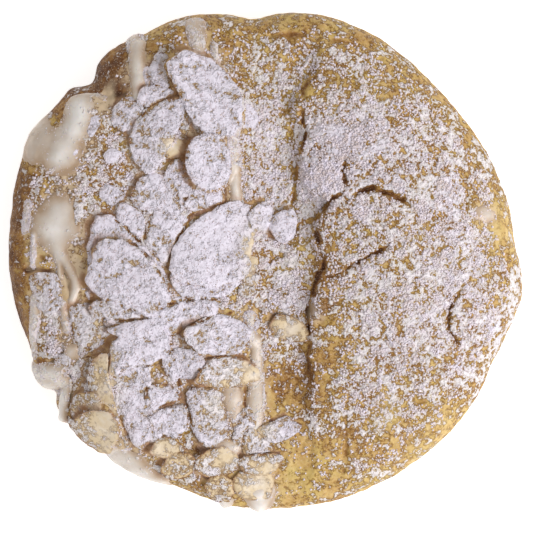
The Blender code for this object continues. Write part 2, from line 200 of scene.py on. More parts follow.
def broad_relief(x, y):
    """The rises of the top, and the step at the seam, softened by its reach."""
    relief = np.zeros(np.shape(x))
    for mid_x, mid_y, reach_x, reach_y, height in RISES:
        relief = relief + height * np.exp(-(((x - mid_x) / reach_x) ** 2) - ((y - mid_y) / reach_y) ** 2)
    seam_y, seam_x = zip(*SEAM)
    step = np.tanh((x - np.interp(y, seam_y, seam_x) + plan_unevenness(x, y, SEAM_EDGE)) / SEAM_REACH)
    low, low_run, low_rest = SEAM_LOWER_END
    high, high_run, high_rest = SEAM_UPPER_END
    lapped = np.clip((y - low) / low_run, low_rest, 1.0) * np.clip((high - y) / high_run, high_rest, 1.0)
    return relief + SEAM_STEP * lapped * step


def crack_depth(x, y):
    """Depth of the cracks below the crust, with torn, wandering edges."""
    wander = plan_unevenness(x, y, CRACK_EDGE)
    depth = np.zeros(np.shape(x))
    for width, deep, points in CRACKS:
        away, along = line_distance(x, y, points)
        ends = np.clip(CRACK_DEEPENING * along * (1.0 - along) + CRACK_TIP_DEPTH, 0.0, 1.0)
        depth = np.maximum(depth, deep * ends * np.exp(-((np.maximum(away + wander, 0.0) / width) ** 2)))
    return depth


# The profile from the middle of the top, over the shoulder and the waist, to the edge of the base:
# the length along it, the share of the rim's radius, and the height of the shoulder or of the side.
PROFILE_STEPS = 400
RIM_CROWDING = 3
TUCK_POWER = 1.7
top_share = 1.0 - (1.0 - np.linspace(0.0, 1.0, PROFILE_STEPS)) ** RIM_CROWDING
top_lift = np.sqrt(np.clip(1.0 - top_share**SHOULDER_POWER, 0.0, 1.0))
tuck = np.linspace(0.0, 1.0, PROFILE_STEPS)[1:]
profile_share = np.concatenate((top_share, 1.0 - (1.0 - BASE_SHARE) * tuck**TUCK_POWER))
profile_height = np.concatenate((WAIST + (TOP - WAIST) * top_lift, WAIST * (1.0 - tuck)))
profile_steps = np.hypot(np.diff(profile_share) * RIM, np.diff(profile_height))
profile_length = np.concatenate(([0.0], np.cumsum(profile_steps)))
WAIST_LENGTH = profile_length[PROFILE_STEPS - 1]
BASE_LENGTH = profile_length[-1]


def skin(length, angle):
    """Places on the smooth skin of the dough, at lengths down its profile in given directions."""
    share = np.interp(length, profile_length, profile_share)
    radius = rim_radius(angle) * share
    x, y = radius * np.cos(np.radians(angle)), radius * np.sin(np.radians(angle))
    height = np.interp(length, profile_length, profile_height)
    lift = np.where(length < WAIST_LENGTH, (height - WAIST) / (TOP - WAIST), 0.0)
    return np.column_stack((x, y, height + broad_relief(x, y) * lift))


def square_grid(marks):
    """A grid of points over a square with the same marks both ways, and its four-cornered faces."""
    across, up = (axis.ravel() for axis in np.meshgrid(marks, marks, indexing="ij"))
    place = np.arange(len(marks) ** 2).reshape(len(marks), len(marks))
    faces = np.stack((place[:-1, :-1], place[1:, :-1], place[1:, 1:], place[:-1, 1:]), axis=-1)
    return across, up, faces.reshape(-1, 4)


def disc_grid(cells):
    """A square grid drawn into a disc: each point's share of the rim and its direction, and the faces."""
    across, up, faces = square_grid(np.linspace(-1.0, 1.0, cells + 1))
    ring = np.maximum(abs(across), abs(up))
    wide = abs(across) >= abs(up)
    least, most = np.where(wide, up, across), np.where(wide, across, up)
    slope = np.divide(least, most, out=np.zeros_like(up), where=ring > 0)
    angle = np.where(wide, 45.0 * slope + 180.0 * (across < 0), 90.0 - 45.0 * slope + 180.0 * (up < 0))
    return ring, angle, faces


def set_points(mesh, points):
    """Puts a mesh's points at places in millimetres."""
    mesh.vertices.foreach_set("co", ((points - (*OUTLINE_MIDDLE, 0.0)) * MM).astype(np.float32).ravel())
    mesh.update()


def new_piece(name, points, faces, smooth=True):
    """A mesh object from points in millimetres and faces that all have the same number of corners."""
    mesh = bpy.data.meshes.new(name)
    corners = faces.shape[1]
    mesh.vertices.add(len(points))
    set_points(mesh, points)
    mesh.loops.add(faces.size)
    mesh.loops.foreach_set("vertex_index", faces.astype(np.int32).ravel())
    mesh.polygons.add(len(faces))
    mesh.polygons.foreach_set("loop_start", np.arange(0, faces.size, corners, dtype=np.int32))
    mesh.update(calc_edges=True)
    if smooth:
        mesh.shade_smooth()
    piece = bpy.data.objects.new(name, mesh)
    bpy.context.scene.collection.objects.link(piece)
    return piece


def mesh_values(items, key, width=1, kind=np.float32):
    """One kind of value of all the items of a mesh, a row for each item."""
    values = np.empty(len(items) * width, kind)
    items.foreach_get(key, values)
    return values.reshape(-1, width) if width > 1 else values


def keep_mask(piece, name, values):
    """Keeps a value from 0 to 1 at each point of a piece, for its material to read."""
    kept = piece.data.attributes.new(name, "FLOAT", "POINT").data
    kept.foreach_set("value", np.clip(values, 0, 1).astype(np.float32))


# The crust's relief: pits and fine crumb on top, veins of small blisters, and at the side thin layers of
# dough torn open, each with its pitch, how far it stands out and how sharp it is.
CRUMB_PITS = [(0.30, 6.5, 8), (0.24, 2.6, 1), (0.15, 1.3, 2)]
CRUMB_GRAIN = [(0.07, 0.7, 4)]
VEIN_DEPTH = 0.16
VEIN_NOISE = [(1.0, 1.9, 3)]
VEIN_SHARPNESS = 4
SIDE_START = 57.0
SIDE_FADE = 5.0
SIDE_PITS = 0.55
LAYER_PITCH = 1.55
LAYER_HEIGHT = 0.42
LAYER_SHARPNESS = 0.6
LAYER_SINK = 0.35
LAYER_WARP = [(1.6, 14.0, 5), (0.5, 5.0, 6)]
LAYER_STRENGTH = 0.55
LAYER_BREAKS = [(0.45, 6.0, 7)]
LAYER_BREAK_STRETCH = (1, 1, 0.3)
LAYER_END = 1.0
LAYER_END_RUN = 3.0


def crumb_relief(points, length):
    """Fine relief of the crust along its normal: pits and blisters on top, thin torn layers at the side."""
    veins = VEIN_DEPTH * (1.0 - abs(unevenness(points, VEIN_NOISE))) ** VEIN_SHARPNESS
    pits = unevenness(points, CRUMB_PITS) - veins + unevenness(points, CRUMB_GRAIN)
    side = np.clip((length - SIDE_START) / SIDE_FADE, 0.0, 1.0)
    side = side * np.clip((BASE_LENGTH + LAYER_END - length) / LAYER_END_RUN, 0.0, 1.0)
    layers = np.abs(((length + unevenness(points, LAYER_WARP)) / LAYER_PITCH) % 1.0 - 0.5) * 2.0
    strength = LAYER_STRENGTH + unevenness(points * LAYER_BREAK_STRETCH, LAYER_BREAKS)
    layers = LAYER_HEIGHT * layers**LAYER_SHARPNESS * strength
    return pits * (1.0 + (SIDE_PITS - 1.0) * side) + side * (layers - LAYER_SINK)


TOP_CELLS = 312
UNDERSIDE_CELLS = 260
SHOULDER_LENGTH = 55.0
CRACK_END = 58.0
CRACK_FADE = 6.0
CRUMB_FADE = 2.0
BASE_RINGS = 0.52


def make_dough_half(name, lengths, cells, turned_over):
    """One half of the dough's skin, with its relief, and its masks of browning with painted shade, and of
    sugar.
    """
    ring, angle, faces = disc_grid(cells)
    length = lengths(ring)
    base = np.clip((length - BASE_LENGTH) / (RIM * BASE_SHARE), 0.0, 1.0)
    points = skin(np.minimum(length, BASE_LENGTH), angle)
    points[:, :2] *= (1.0 - base)[:, None]
    x, y = points[:, 0], points[:, 1]
    piece = new_piece(name, points, faces[:, ::-1] if turned_over else faces)
    cracks = crack_depth(x, y) * (length < CRACK_END)
    relief = crumb_relief(points, length) * np.clip((BASE_LENGTH - length) / CRUMB_FADE, 0.0, 1.0)
    moved = points + mesh_values(piece.data.vertex_normals, "vector", 3).astype(np.float64) * relief[:, None]
    moved[:, 2] -= cracks * np.clip((CRACK_END - length) / CRACK_FADE, 0.0, 1.0)
    moved[:, 2] = np.maximum(moved[:, 2], 0.0)
    set_points(piece.data, moved)
    keep_mask(piece, "browning_and_shade", browning_and_shade_level(points, length, cracks, base))
    keep_mask(piece, "sugar", sugar_level(points, length, cracks))
    keep_mask(piece, "film", film_level(points, length))
    keep_mask(piece, "painted_shadow", np.zeros(len(points)))
    return piece


# Browning of the crust with painted shade, from pale to dark: a level all over, and patches with middle,
# reach and change.
BAKE_LEVEL = 0.42
# The patches at the left and upper left rim are partly real browning, partly painted shade on the side away
# from the light;
# those at (-33, 40) and (13, 0) paint the shadow beside the upper left flakes and along the seam's step.
BROWNING_AND_SHADE_PATCHES = [
    (-58.5, 3, 4, 40, 0.42), (-40, 46, 15, 8, 0.42), (-48, 36, 3, 3, 0.20), (-53.5, 4, 3, 6, -0.10),
    (6, -28, 8, 9, 0.14), (54, 8, 8, 24, -0.12), (40, -38, 14, 12, -0.12), (8, -52, 12, 6, -0.08),
    (2, 26, 4, 10, -0.12), (4, -8, 5, 9, -0.16), (13, 0, 3, 22, 0.12), (6, 57, 24, 5, -0.06),
    (-33, 40, 8, 4, 0.22), (-14.4, -42.3, 1.6, 1.2, 0.5), (45, 14, 6, 6, -0.08),
]
BAKE_MOTTLE = [(0.10, 9.0, 31), (0.08, 3.0, 32)]
CRACK_DARKENING = 0.45
CRACK_DARKENING_FROM = 0.15
SIDE_FROM = 60.0
SIDE_BAKE = 0.28
SIDE_BAKE_RUN = 8.0
BASE_BAKE = 0.10

# Fine sugar over the crust, from none to full: a level all over, and patches likewise.
SUGAR_LEVEL = 0.56
SUGAR_DRIFTS = [(0.07, 6.0, 33)]
CRACK_SUGAR_FROM = 0.2
CRACK_SUGAR_MOST = 0.9
SIDE_SUGAR = -0.50
SIDE_SUGAR_RUN = 6.0
SUGAR_PATCHES = [
    (30, 26, 22, 14, 0.08), (22, 28, 9, 8, 0.12), (34, -14, 18, 16, 0.08), (38, 38, 11, 8, -0.12),
    (25, 43, 16, 8, -0.02), (54.5, -12, 5, 6, 0.04), (54.5, 8, 3.5, 9, -0.26), (43, 15, 4, 8, 0.12),
    (53, -26, 5, 8, -0.08), (-47, -20, 6, 9, 0.14), (36, -42, 16, 9, -0.18), (12, -50, 16, 8, -0.26),
    (25, -45, 6, 5, 0.12), (44, -36, 5, 5, -0.10), (36, 45, 6, 5, -0.12), (4, -29, 8, 9, -0.30),
    (14, -14, 5, 20, -0.18), (10, 6, 4, 12, -0.12), (47, 34, 7, 9, -0.10), (-45, -3, 6, 7, -0.38),
    (-56, -18, 4, 12, -0.16), (56, 27, 5, 7, -0.12), (-46, 20, 6, 14, -0.10), (7, -44, 4, 5, -0.12),
    (8, 54, 30, 7, -0.20), (-34, 47, 12, 10, -0.22), (-58.5, 0, 4, 40, -0.30), (3, 24, 7, 20, 0.12),
    (50, -24, 8, 9, -0.01), (44, 4, 7, 7, 0.05), (5, -9, 5, 8, 0.16), (5.5, 34, 2.5, 11, -0.2),
    (-12, -54, 12, 4, -0.18), (15, 20, 5, 12, 0.10), (-24, -5, 16, 40, 0.06), (9.5, 39.5, 2, 3, -0.30),
    (-35, 39.5, 6, 2.5, -0.35), (-48, 36, 3, 3, -0.3), (-54, 3, 3, 6, -0.2), (12.3, 20, 3.0, 2.6, 0.32),
    (21.3, 11.6, 1.6, 2.4, 0.30), (-46, 18, 8, 6, 0.08), (10, 5, 4, 22, 0.08), (8, -30, 6, 6, 0.09),
    (50, -15, 6, 10, 0.05), (34, -39, 7, 5, 0.08), (6, 50, 9, 5, 0.05),
]


def patched(x, y, level, patches):
    """A level all over, changed by soft patches."""
    value = np.full(np.shape(x), level)
    for mid_x, mid_y, reach_x, reach_y, change in patches:
        value = value + change * np.exp(-(((x - mid_x) / reach_x) ** 2) - ((y - mid_y) / reach_y) ** 2)
    return value


# A film of spilt icing on the side that was iced: where it begins on the right and ends on the left,
# above and below, and near the side, each with the run over which it thins, and how even it is.
FILM_RIGHT = (-4.0, 6.0)
FILM_LEFT = (56.0, 8.0)
FILM_ENDS = (49.0, 8.0)
FILM_SIDE = (57.0, 5.0)
FILM_LEVEL = 0.38
FILM_CLOUDS = [(0.45, 5.0, 34), (0.25, 2.0, 35)]


def past(value, place, run):
    """Rises from 0 to 1 over a run that starts at a place."""
    return np.clip((value - place) / run, 0.0, 1.0)


def before(value, place, run):
    """Falls from 1 to 0 over a run that ends at a place."""
    return np.clip((place - value) / run, 0.0, 1.0)


def browning_and_shade_level(points, length, cracks, base):
    """How brown the crust is, with painted shade: darker in cracks, at the left and down the side, mottled
    all over.
    """
    level = patched(points[:, 0], points[:, 1], BAKE_LEVEL, BROWNING_AND_SHADE_PATCHES)
    level = level + CRACK_DARKENING * past(cracks, CRACK_DARKENING_FROM, 1.0)
    level = level + SIDE_BAKE * past(length, SIDE_FROM, SIDE_BAKE_RUN)
    return level + BASE_BAKE * base + unevenness(points, BAKE_MOTTLE)


def sugar_level(points, length, cracks):
    """How thickly the sugar lies: it falls off towards the rim, the side and the cracks."""
    level = patched(points[:, 0], points[:, 1], SUGAR_LEVEL, SUGAR_PATCHES)
    level = level - np.clip(cracks - CRACK_SUGAR_FROM, 0.0, CRACK_SUGAR_MOST)
    level = level + SIDE_SUGAR * past(length, SIDE_FROM, SIDE_SUGAR_RUN)
    return level + unevenness(points, SUGAR_DRIFTS)


def film_level(points, length):
    """How thickly the film of spilt icing lies over the crust."""
    x, y = points[:, 0], points[:, 1]
    iced = before(x, *FILM_RIGHT) * before(-x, *FILM_LEFT) * before(abs(y), *FILM_ENDS)
    return iced * before(length, *FILM_SIDE) * (FILM_LEVEL + unevenness(points, FILM_CLOUDS))


def plug(tree, socket, value):
    """Links a node's output to a socket, or gives the socket a plain value."""
    if isinstance(value, bpy.types.NodeSocket):
        tree.links.new(value, socket)
    else:
        socket.default_value = value


def add_node(tree, kind, settings=(), **inputs):
    """A shader node with its settings and the values of its named inputs."""
    node = tree.nodes.new(kind)
    for key, value in dict(settings).items():
        setattr(node, key, value)
    for key, value in inputs.items():
        plug(tree, node.inputs[key.replace("_", " ")], value)
    return node


def object_places(tree):
    """The places of the object itself, for its textures."""
    return add_node(tree, "ShaderNodeTexCoord").outputs["Object"]


def clouds(tree, where, scale, detail, rough):
    """The level, round 0.5, of a Noise Texture with a given number of clouds to a metre."""
    node = add_node(tree, "ShaderNodeTexNoise", Vector=where, Scale=scale, Detail=detail, Roughness=rough)
    return node.outputs[0]


def kept_mask(tree, name):
    """A value that keep_mask kept at each point."""
    return add_node(tree, "ShaderNodeAttribute", {"attribute_name": name}).outputs["Fac"]


def maths(tree, operation, *values):
    """The result of a Math node on sockets or numbers."""
    node = add_node(tree, "ShaderNodeMath", {"operation": operation})
    for socket, value in zip(node.inputs, values):
        plug(tree, socket, value)
    return node.outputs[0]


def add_share(tree, value, share, base):
    """A share of one value added to another."""
    return maths(tree, "MULTIPLY_ADD", value, share, base)


def sway(tree, cloud, share, base):
    """A value that a cloud moves up and down by a share of the cloud's own range."""
    return add_share(tree, maths(tree, "SUBTRACT", cloud, 0.5), share, base)


def blend_colour(tree, share, first, second):
    """Two colours mixed by a share from 0 to 1."""
    node = add_node(tree, "ShaderNodeMix", {"data_type": "RGBA"})
    for socket, value in zip((node.inputs[0], node.inputs[6], node.inputs[7]), (share, first, second)):
        plug(tree, socket, value)
    return node.outputs[2]


def paint(red, green, blue):
    """A colour given as it shows on a screen, from 0 to 255, as a shader takes it."""
    shares = [value / 255.0 for value in (red, green, blue)]
    return (*[s / 12.92 if s <= 0.04045 else ((s + 0.055) / 1.055) ** 2.4 for s in shares], 1.0)


def ramp(tree, share, stops):
    """A colour ramp from stops: place, red, green and blue."""
    node = add_node(tree, "ShaderNodeValToRGB", Fac=share)
    while len(node.color_ramp.elements) < len(stops):
        node.color_ramp.elements.new(0.5)
    for element, (place, *colour) in zip(node.color_ramp.elements, stops):
        element.position = place
        element.color = paint(*colour)
    return node.outputs[0]


def new_group(name, inputs, outputs):
    """An empty shader node group with named inputs and outputs."""
    tree = bpy.data.node_groups.new(name, "ShaderNodeTree")
    for label, kind, value in inputs:
        tree.interface.new_socket(label, in_out="INPUT", socket_type=kind).default_value = value
    for label, kind in outputs:
        tree.interface.new_socket(label, in_out="OUTPUT", socket_type=kind)
    return tree, tree.nodes.new("NodeGroupInput"), tree.nodes.new("NodeGroupOutput")


def smooth_step(tree, value, low, high):
    """A value that eases from 0 to 1 between two limits."""
    limits = {"Value": value, "From_Min": low, "From_Max": high}
    return add_node(tree, "ShaderNodeMapRange", {"interpolation_type": "SMOOTHSTEP"}, **limits).outputs[0]


# The sifted sugar: it lies wherever its amount, its specks, clumps and drifts add up past what bare crust
# needs. Each kind of cloud is given as its number to a metre, its detail and its roughness.
SUGAR_SPECKS = (1250.0, 3.0, 0.6)
SUGAR_CLUMPS = (480.0, 2.0, 0.5)
SUGAR_DRIFT_CLOUDS = (150.0, 2.0, 0.5)
SUGAR_POWDER = (2600.0, 1.0, 0.5)
SUGAR_LUMPINESS = (820.0, 3.0, 0.6)
SUGAR_SEAMS = (520.0, 1.0, 0.4)
AMOUNT_SHARE = 0.38
SPECK_SHARE = 0.47
CLUMP_SHARE = 0.48
DRIFT_SHARE = 0.16
BARE_NEEDS = -0.760
# Where on that scale the sugar starts and is full, its painted shadow line starts and ends, and it lies
# thick.
SUGAR_EDGE = (-0.016, 0.026)
CLUMP_SHADOW_EDGE = (-0.11, -0.02)
THICK_EDGE = (0.0, 0.065)
# Its powder, and painted shade in its hollows and splits: where their clouds let them start and be full, and
# how strong they are.
POWDER_EDGE = (0.56, 0.70)
POWDER_SHARE = 0.42
HOLLOW_EDGE = (0.56, 0.38)
HOLLOW_DEPTH = (0.06, 0.16)
HOLLOW_SHARES = (0.12, 0.05)
SPLIT_WIDTH = (0.03, 0.006)
SPLIT_EDGE = (0.54, 0.44)
SPLIT_SHARES = (0.36, 0.08)
# Its colours on a screen: thin and thick sugar, painted shade in its hollows and splits, the painted shadow
# line of crust round a clump, crust specked with powder, and the warm and the deep painted shadow behind an
# almond.
THIN_SUGAR = (240, 236, 237)
THICK_SUGAR = (232, 229, 242)
SUGAR_HOLLOW_SHADE = (178, 163, 171)
SUGAR_SPLIT_SHADE = (128, 96, 90)
CLUMP_SHADOW = (120, 80, 42)
POWDERED_CRUST = (226, 203, 172)
PAINTED_SHADOW_COLOURS = [(0.2, 204, 172, 152), (0.9, 146, 102, 68)]
PAINTED_SHADOW_SHARE = 0.75


def make_sugar_dust():
    """Sifted fine sugar on a base: specks that join into clumps, each with a painted shadow line of darker
    base round it.
    """
    tree, given, result = new_group(
        "sifted_sugar",
        [("Base", "NodeSocketColor", paint(180, 150, 110)), ("Amount", "NodeSocketFloat", 0.5),
         ("Outline", "NodeSocketFloat", 1.0), ("Lee", "NodeSocketFloat", 0.0)],
        [("Colour", "NodeSocketColor"), ("Mask", "NodeSocketFloat"), ("Height", "NodeSocketFloat")])
    crust, amount, outline, painted_shadow = given.outputs[:4]
    where = object_places(tree)
    specks = clouds(tree, where, *SUGAR_SPECKS)
    fall = add_share(tree, amount, AMOUNT_SHARE, BARE_NEEDS)
    fall = add_share(tree, specks, SPECK_SHARE, fall)
    fall = add_share(tree, clouds(tree, where, *SUGAR_CLUMPS), CLUMP_SHARE, fall)
    fall = add_share(tree, clouds(tree, where, *SUGAR_DRIFT_CLOUDS), DRIFT_SHARE, fall)
    mask = smooth_step(tree, fall, *SUGAR_EDGE)

    # The base: a darker, browner painted shadow line close to the sugar, and specked with powder too fine to
    # join.
    shade = add_node(tree, "ShaderNodeHueSaturation", Hue=0.488, Saturation=1.4, Value=0.45, Color=crust)
    shade = blend_colour(tree, 0.45, shade.outputs[0], paint(*CLUMP_SHADOW))
    near = maths(tree, "MULTIPLY", smooth_step(tree, fall, *CLUMP_SHADOW_EDGE), outline)
    base = blend_colour(tree, near, crust, shade)
    powder = smooth_step(tree, clouds(tree, where, *SUGAR_POWDER), *POWDER_EDGE)
    powder = maths(tree, "MULTIPLY", maths(tree, "MULTIPLY", powder, outline), POWDER_SHARE)
    base = blend_colour(tree, powder, base, paint(*POWDERED_CRUST))

    # The sugar: see-through at its edges and on icing, and lilac where it lies thick.
    heavy = smooth_step(tree, amount, 0.55, 0.8)
    white = blend_colour(tree, heavy, paint(*THIN_SUGAR), paint(*THICK_SUGAR))
    white = blend_colour(tree, add_share(tree, outline, -0.28, 0.28), white, crust)
    thin = blend_colour(tree, 0.5, crust, white)
    sugar = blend_colour(tree, smooth_step(tree, fall, *THICK_EDGE), thin, white)

    # Painted shade in the hollows and splits of its surface, little where it lies thickest.
    lumpy = clouds(tree, where, *SUGAR_LUMPINESS)
    looser = smooth_step(tree, amount, 0.97, 0.82)
    thick = smooth_step(tree, fall, *HOLLOW_DEPTH)
    hollow_shade = maths(tree, "MULTIPLY", smooth_step(tree, lumpy, *HOLLOW_EDGE), thick)
    hollow_shade = maths(tree, "MULTIPLY", hollow_shade, add_share(tree, looser, *HOLLOW_SHARES))
    sugar = blend_colour(tree, hollow_shade, sugar, paint(*SUGAR_HOLLOW_SHADE))
    seams = clouds(tree, where, *SUGAR_SEAMS)
    split_shade = maths(tree, "ABSOLUTE", maths(tree, "SUBTRACT", seams, 0.5))
    split_shade = smooth_step(tree, split_shade, *SPLIT_WIDTH)
    split_shade = maths(tree, "MULTIPLY", split_shade, smooth_step(tree, lumpy, *SPLIT_EDGE))
    split_shade = maths(tree, "MULTIPLY", split_shade, add_share(tree, looser, *SPLIT_SHARES))
    sugar = blend_colour(tree, split_shade, sugar, paint(*SUGAR_SPLIT_SHADE))

    dusted = blend_colour(tree, mask, base, sugar)
    # Painted shadow behind an almond, pale at its edge and deep close to the almond.
    shaded = maths(tree, "MULTIPLY", smooth_step(tree, painted_shadow, 0.0, 0.9), PAINTED_SHADOW_SHARE)
    dusted = blend_colour(tree, shaded, dusted, ramp(tree, painted_shadow, PAINTED_SHADOW_COLOURS))
    crumple = add_share(tree, specks, 0.35, add_share(tree, seams, 0.9, lumpy))
    height = maths(tree, "MULTIPLY", smooth_step(tree, fall, -0.03, 0.14), crumple)
    for name, value in (("Colour", dusted), ("Mask", mask), ("Height", height)):
        tree.links.new(value, result.inputs[name])
    return tree


sugar_dust = make_sugar_dust()


def new_material(name):
    """A material with its Principled BSDF and its node tree."""
    material = bpy.data.materials.new(name)
    material.use_nodes = True
    return material, material.node_tree, material.node_tree.nodes["Principled BSDF"]


def sift_over(tree, shader, base, outline, rough, sugar_rough, grain, grain_height, depth):
    """Lays the sifted sugar over a base colour, and joins its roughness and relief with the base's own."""
    dust = add_node(tree, "ShaderNodeGroup", {"node_tree": sugar_dust}, Base=base, Outline=outline,
                    Amount=kept_mask(tree, "sugar"), Lee=kept_mask(tree, "painted_shadow"))
    tree.links.new(dust.outputs["Colour"], shader.inputs["Base Color"])
    roughness = add_share(tree, dust.outputs["Mask"], sugar_rough, rough)
    tree.links.new(roughness, shader.inputs["Roughness"])
    relief = add_share(tree, grain, grain_height, dust.outputs["Height"])
    bump = add_node(tree, "ShaderNodeBump", Strength=1.0, Distance=depth, Height=relief)
    tree.links.new(bump.outputs[0], shader.inputs["Normal"])


# The crust from pale gold to dark brown, where each is on the scale of browning and painted shade; the butter
# that shows in it where it stayed pale; and the icing that dried on it as a film.
CRUST_COLOURS = [(0.0, 216, 196, 148), (0.25, 205, 179, 117), (0.45, 189, 154, 92), (0.65, 151, 109, 55),
                 (0.85, 106, 66, 32), (1.0, 78, 43, 20)]
BUTTER_COLOUR = (202, 178, 104)
FILM_COLOUR = (206, 186, 156)
MOTTLE_SHARE = 0.75
GRAIN_SHARE = 0.65
BUTTER_SHARE = 0.6


def make_baked_dough():
    """Baked crust: pale gold to dark brown by how long each place baked and by painted shade, matte, under
    sifted sugar.
    """
    material, tree, shader = new_material("baked_dough")
    where = object_places(tree)
    browning_and_shade = kept_mask(tree, "browning_and_shade")
    grain = clouds(tree, where, 1300.0, 3.0, 0.7)
    browned_and_shaded = sway(tree, clouds(tree, where, 260.0, 4.0, 0.6), MOTTLE_SHARE, browning_and_shade)
    browned_and_shaded = sway(tree, grain, GRAIN_SHARE, browned_and_shaded)
    crust = ramp(tree, browned_and_shaded, CRUST_COLOURS)
    butter = smooth_step(tree, clouds(tree, where, 150.0, 2.0, 0.5), 0.47, 0.66)
    butter = maths(tree, "MULTIPLY", butter, smooth_step(tree, browned_and_shaded, 0.75, 0.45))
    crust = blend_colour(tree, maths(tree, "MULTIPLY", butter, BUTTER_SHARE), crust, paint(*BUTTER_COLOUR))
    film = smooth_step(tree, kept_mask(tree, "film"), 0.15, 0.85)
    crust = blend_colour(tree, film, crust, paint(*FILM_COLOUR))
    outline = add_share(tree, smooth_step(tree, browning_and_shade, 0.10, 0.40), 0.75, 0.25)
    sift_over(tree, shader, crust, outline, rough=0.62, sugar_rough=0.25, grain=grain, grain_height=0.35,
              depth=0.0003)
    shader.inputs["Specular IOR Level"].default_value = 0.3
    return material


baked_dough = make_baked_dough()
crust_top = make_dough_half("crust_top", lambda ring: ring * SHOULDER_LENGTH, TOP_CELLS, False)


def underside_length(ring):
    """Lengths down the profile for the underside half: the base's rings, then finer ones up the side."""
    whole = BASE_LENGTH + RIM * BASE_SHARE
    return np.where(ring < BASE_RINGS, whole - RIM * BASE_SHARE * ring / BASE_RINGS,
                    BASE_LENGTH + (SHOULDER_LENGTH - BASE_LENGTH) * (ring - BASE_RINGS) / (1.0 - BASE_RINGS))


crust_underside = make_dough_half("crust_underside", underside_length, UNDERSIDE_CELLS, True)
for half in (crust_top, crust_underside):
    half.data.materials.append(baked_dough)
    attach(half, "root")
    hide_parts("pastry")

# ------------------------------------------------------------------------------------------------
# The icing: thin white water icing, poured in stripes up and down the left side while the dough was
# warm. It ran into pools, hangs over the rim in places and set with a soft gloss, under the almonds.

# Stripes: width at each end, height, how far the end runs on over the rim, sugar on it, and points of its
# middle line.
STRIPES = [
    (3.6, 3.4, 0.35, 1.5, 0.52, [(-30.1, 50.2), (-30.4, 52.6)]),
    (3.4, 3.2, 0.6, 0.0, 0.20, [(-29.3, 42), (-29.7, 50.5)]),
    (2.2, 2.8, 0.6, 0.0, 0.10, [(-29.6, 38.4), (-29.3, 42)]),
    (2.2, 4.6, 0.35, 1.2, 0.50, [(-14.9, 46.5), (-15.8, 51), (-16.3, 54.5)]),
    (1.7, 1.3, 0.3, 0.0, 0.55, [(-11.2, 46), (-11.9, 50.3)]),
    (2.2, 2.4, 0.4, 0.0, 0.60, [(-6.4, 33.5), (-7.3, 29), (-7.2, 22)]),
    (2.4, 2.4, 0.5, 0.0, 0.10, [(-7.2, 22), (-7.1, 18), (-6.8, 14.5)]),
    (2.6, 2.8, 0.4, 0.0, 0.60, [(-3.6, -12), (-3.6, -18)]),
    (2.8, 2.8, 0.4, 0.0, 0.36, [(-2.3, -17.5), (-2.2, -25)]),
    (3.2, 3.6, 0.45, 0.0, 0.46, [(-2.2, -26.5), (-2.1, -34.5), (-2.6, -37.4)]),
    (8.0, 3.4, 0.75, 3.8, 0.16, [(-1.5, -53.6), (-1.3, -55)]),
    (4.4, 2.4, 0.6, 2.8, 0.10, [(-9.3, -54), (-9.3, -55)]),
    (7.6, 7.0, 1.05, 0.0, 0.24, [(-42.6, 36.0), (-43, 33.5), (-44.2, 30.5)]),
    (7.0, 9.0, 0.8, 0.0, 0.24, [(-44.2, 30.5), (-46, 27.5), (-47.4, 25)]),
    (6.0, 6.0, 0.3, 0.0, 0.22, [(-52.6, 28), (-53.2, 26.4)]),
    (1.6, 1.4, 0.4, 0.0, 0.50, [(-41, 39), (-39, 38.9), (-37.6, 38.0)]),
    (10.0, 11.0, 0.8, 0.0, 0.26, [(-47.6, 10.6), (-48.9, 8.6)]),
    (9.0, 3.4, 0.65, 0.0, 0.22, [(-49.4, 8.0), (-48.2, 4.5), (-47.2, 1.6)]),
    (2.0, 1.8, 0.5, 0.0, 0.16, [(-46.7, 1.5), (-45.4, -0.8), (-43.9, -3.6), (-43.6, -5.8), (-44.7, -8.6)]),
    (1.0, 0.9, 0.4, 0.0, 0.30, [(-48.3, 1.7), (-47.6, -0.6), (-47.2, -3)]),
    (1.2, 1.2, 0.5, 0.0, 0.70, [(-53.5, 6.6), (-53.8, -0.2)]),
    (2.0, 2.0, 0.3, 0.0, 0.62, [(-55.0, 13.5), (-55.6, 7.8)]),
    (2.5, 2.5, 0.5, 0.0, 0.56, [(-53.2, -8), (-53.3, -13), (-53.9, -17.5), (-53.5, -21)]),
    (1.5, 1.5, 0.4, 0.0, 0.56, [(-46.6, -9), (-46.5, -12), (-45.9, -15)]),
    (3.8, 3.2, 0.6, 0.0, 0.45, [(-52, -25), (-49, -25.2), (-47.2, -26.8), (-46.6, -30.5)]),
    (2.6, 2.4, 0.7, 3.0, 0.30, [(-46.6, -30.5), (-46.9, -35.5)]),
]
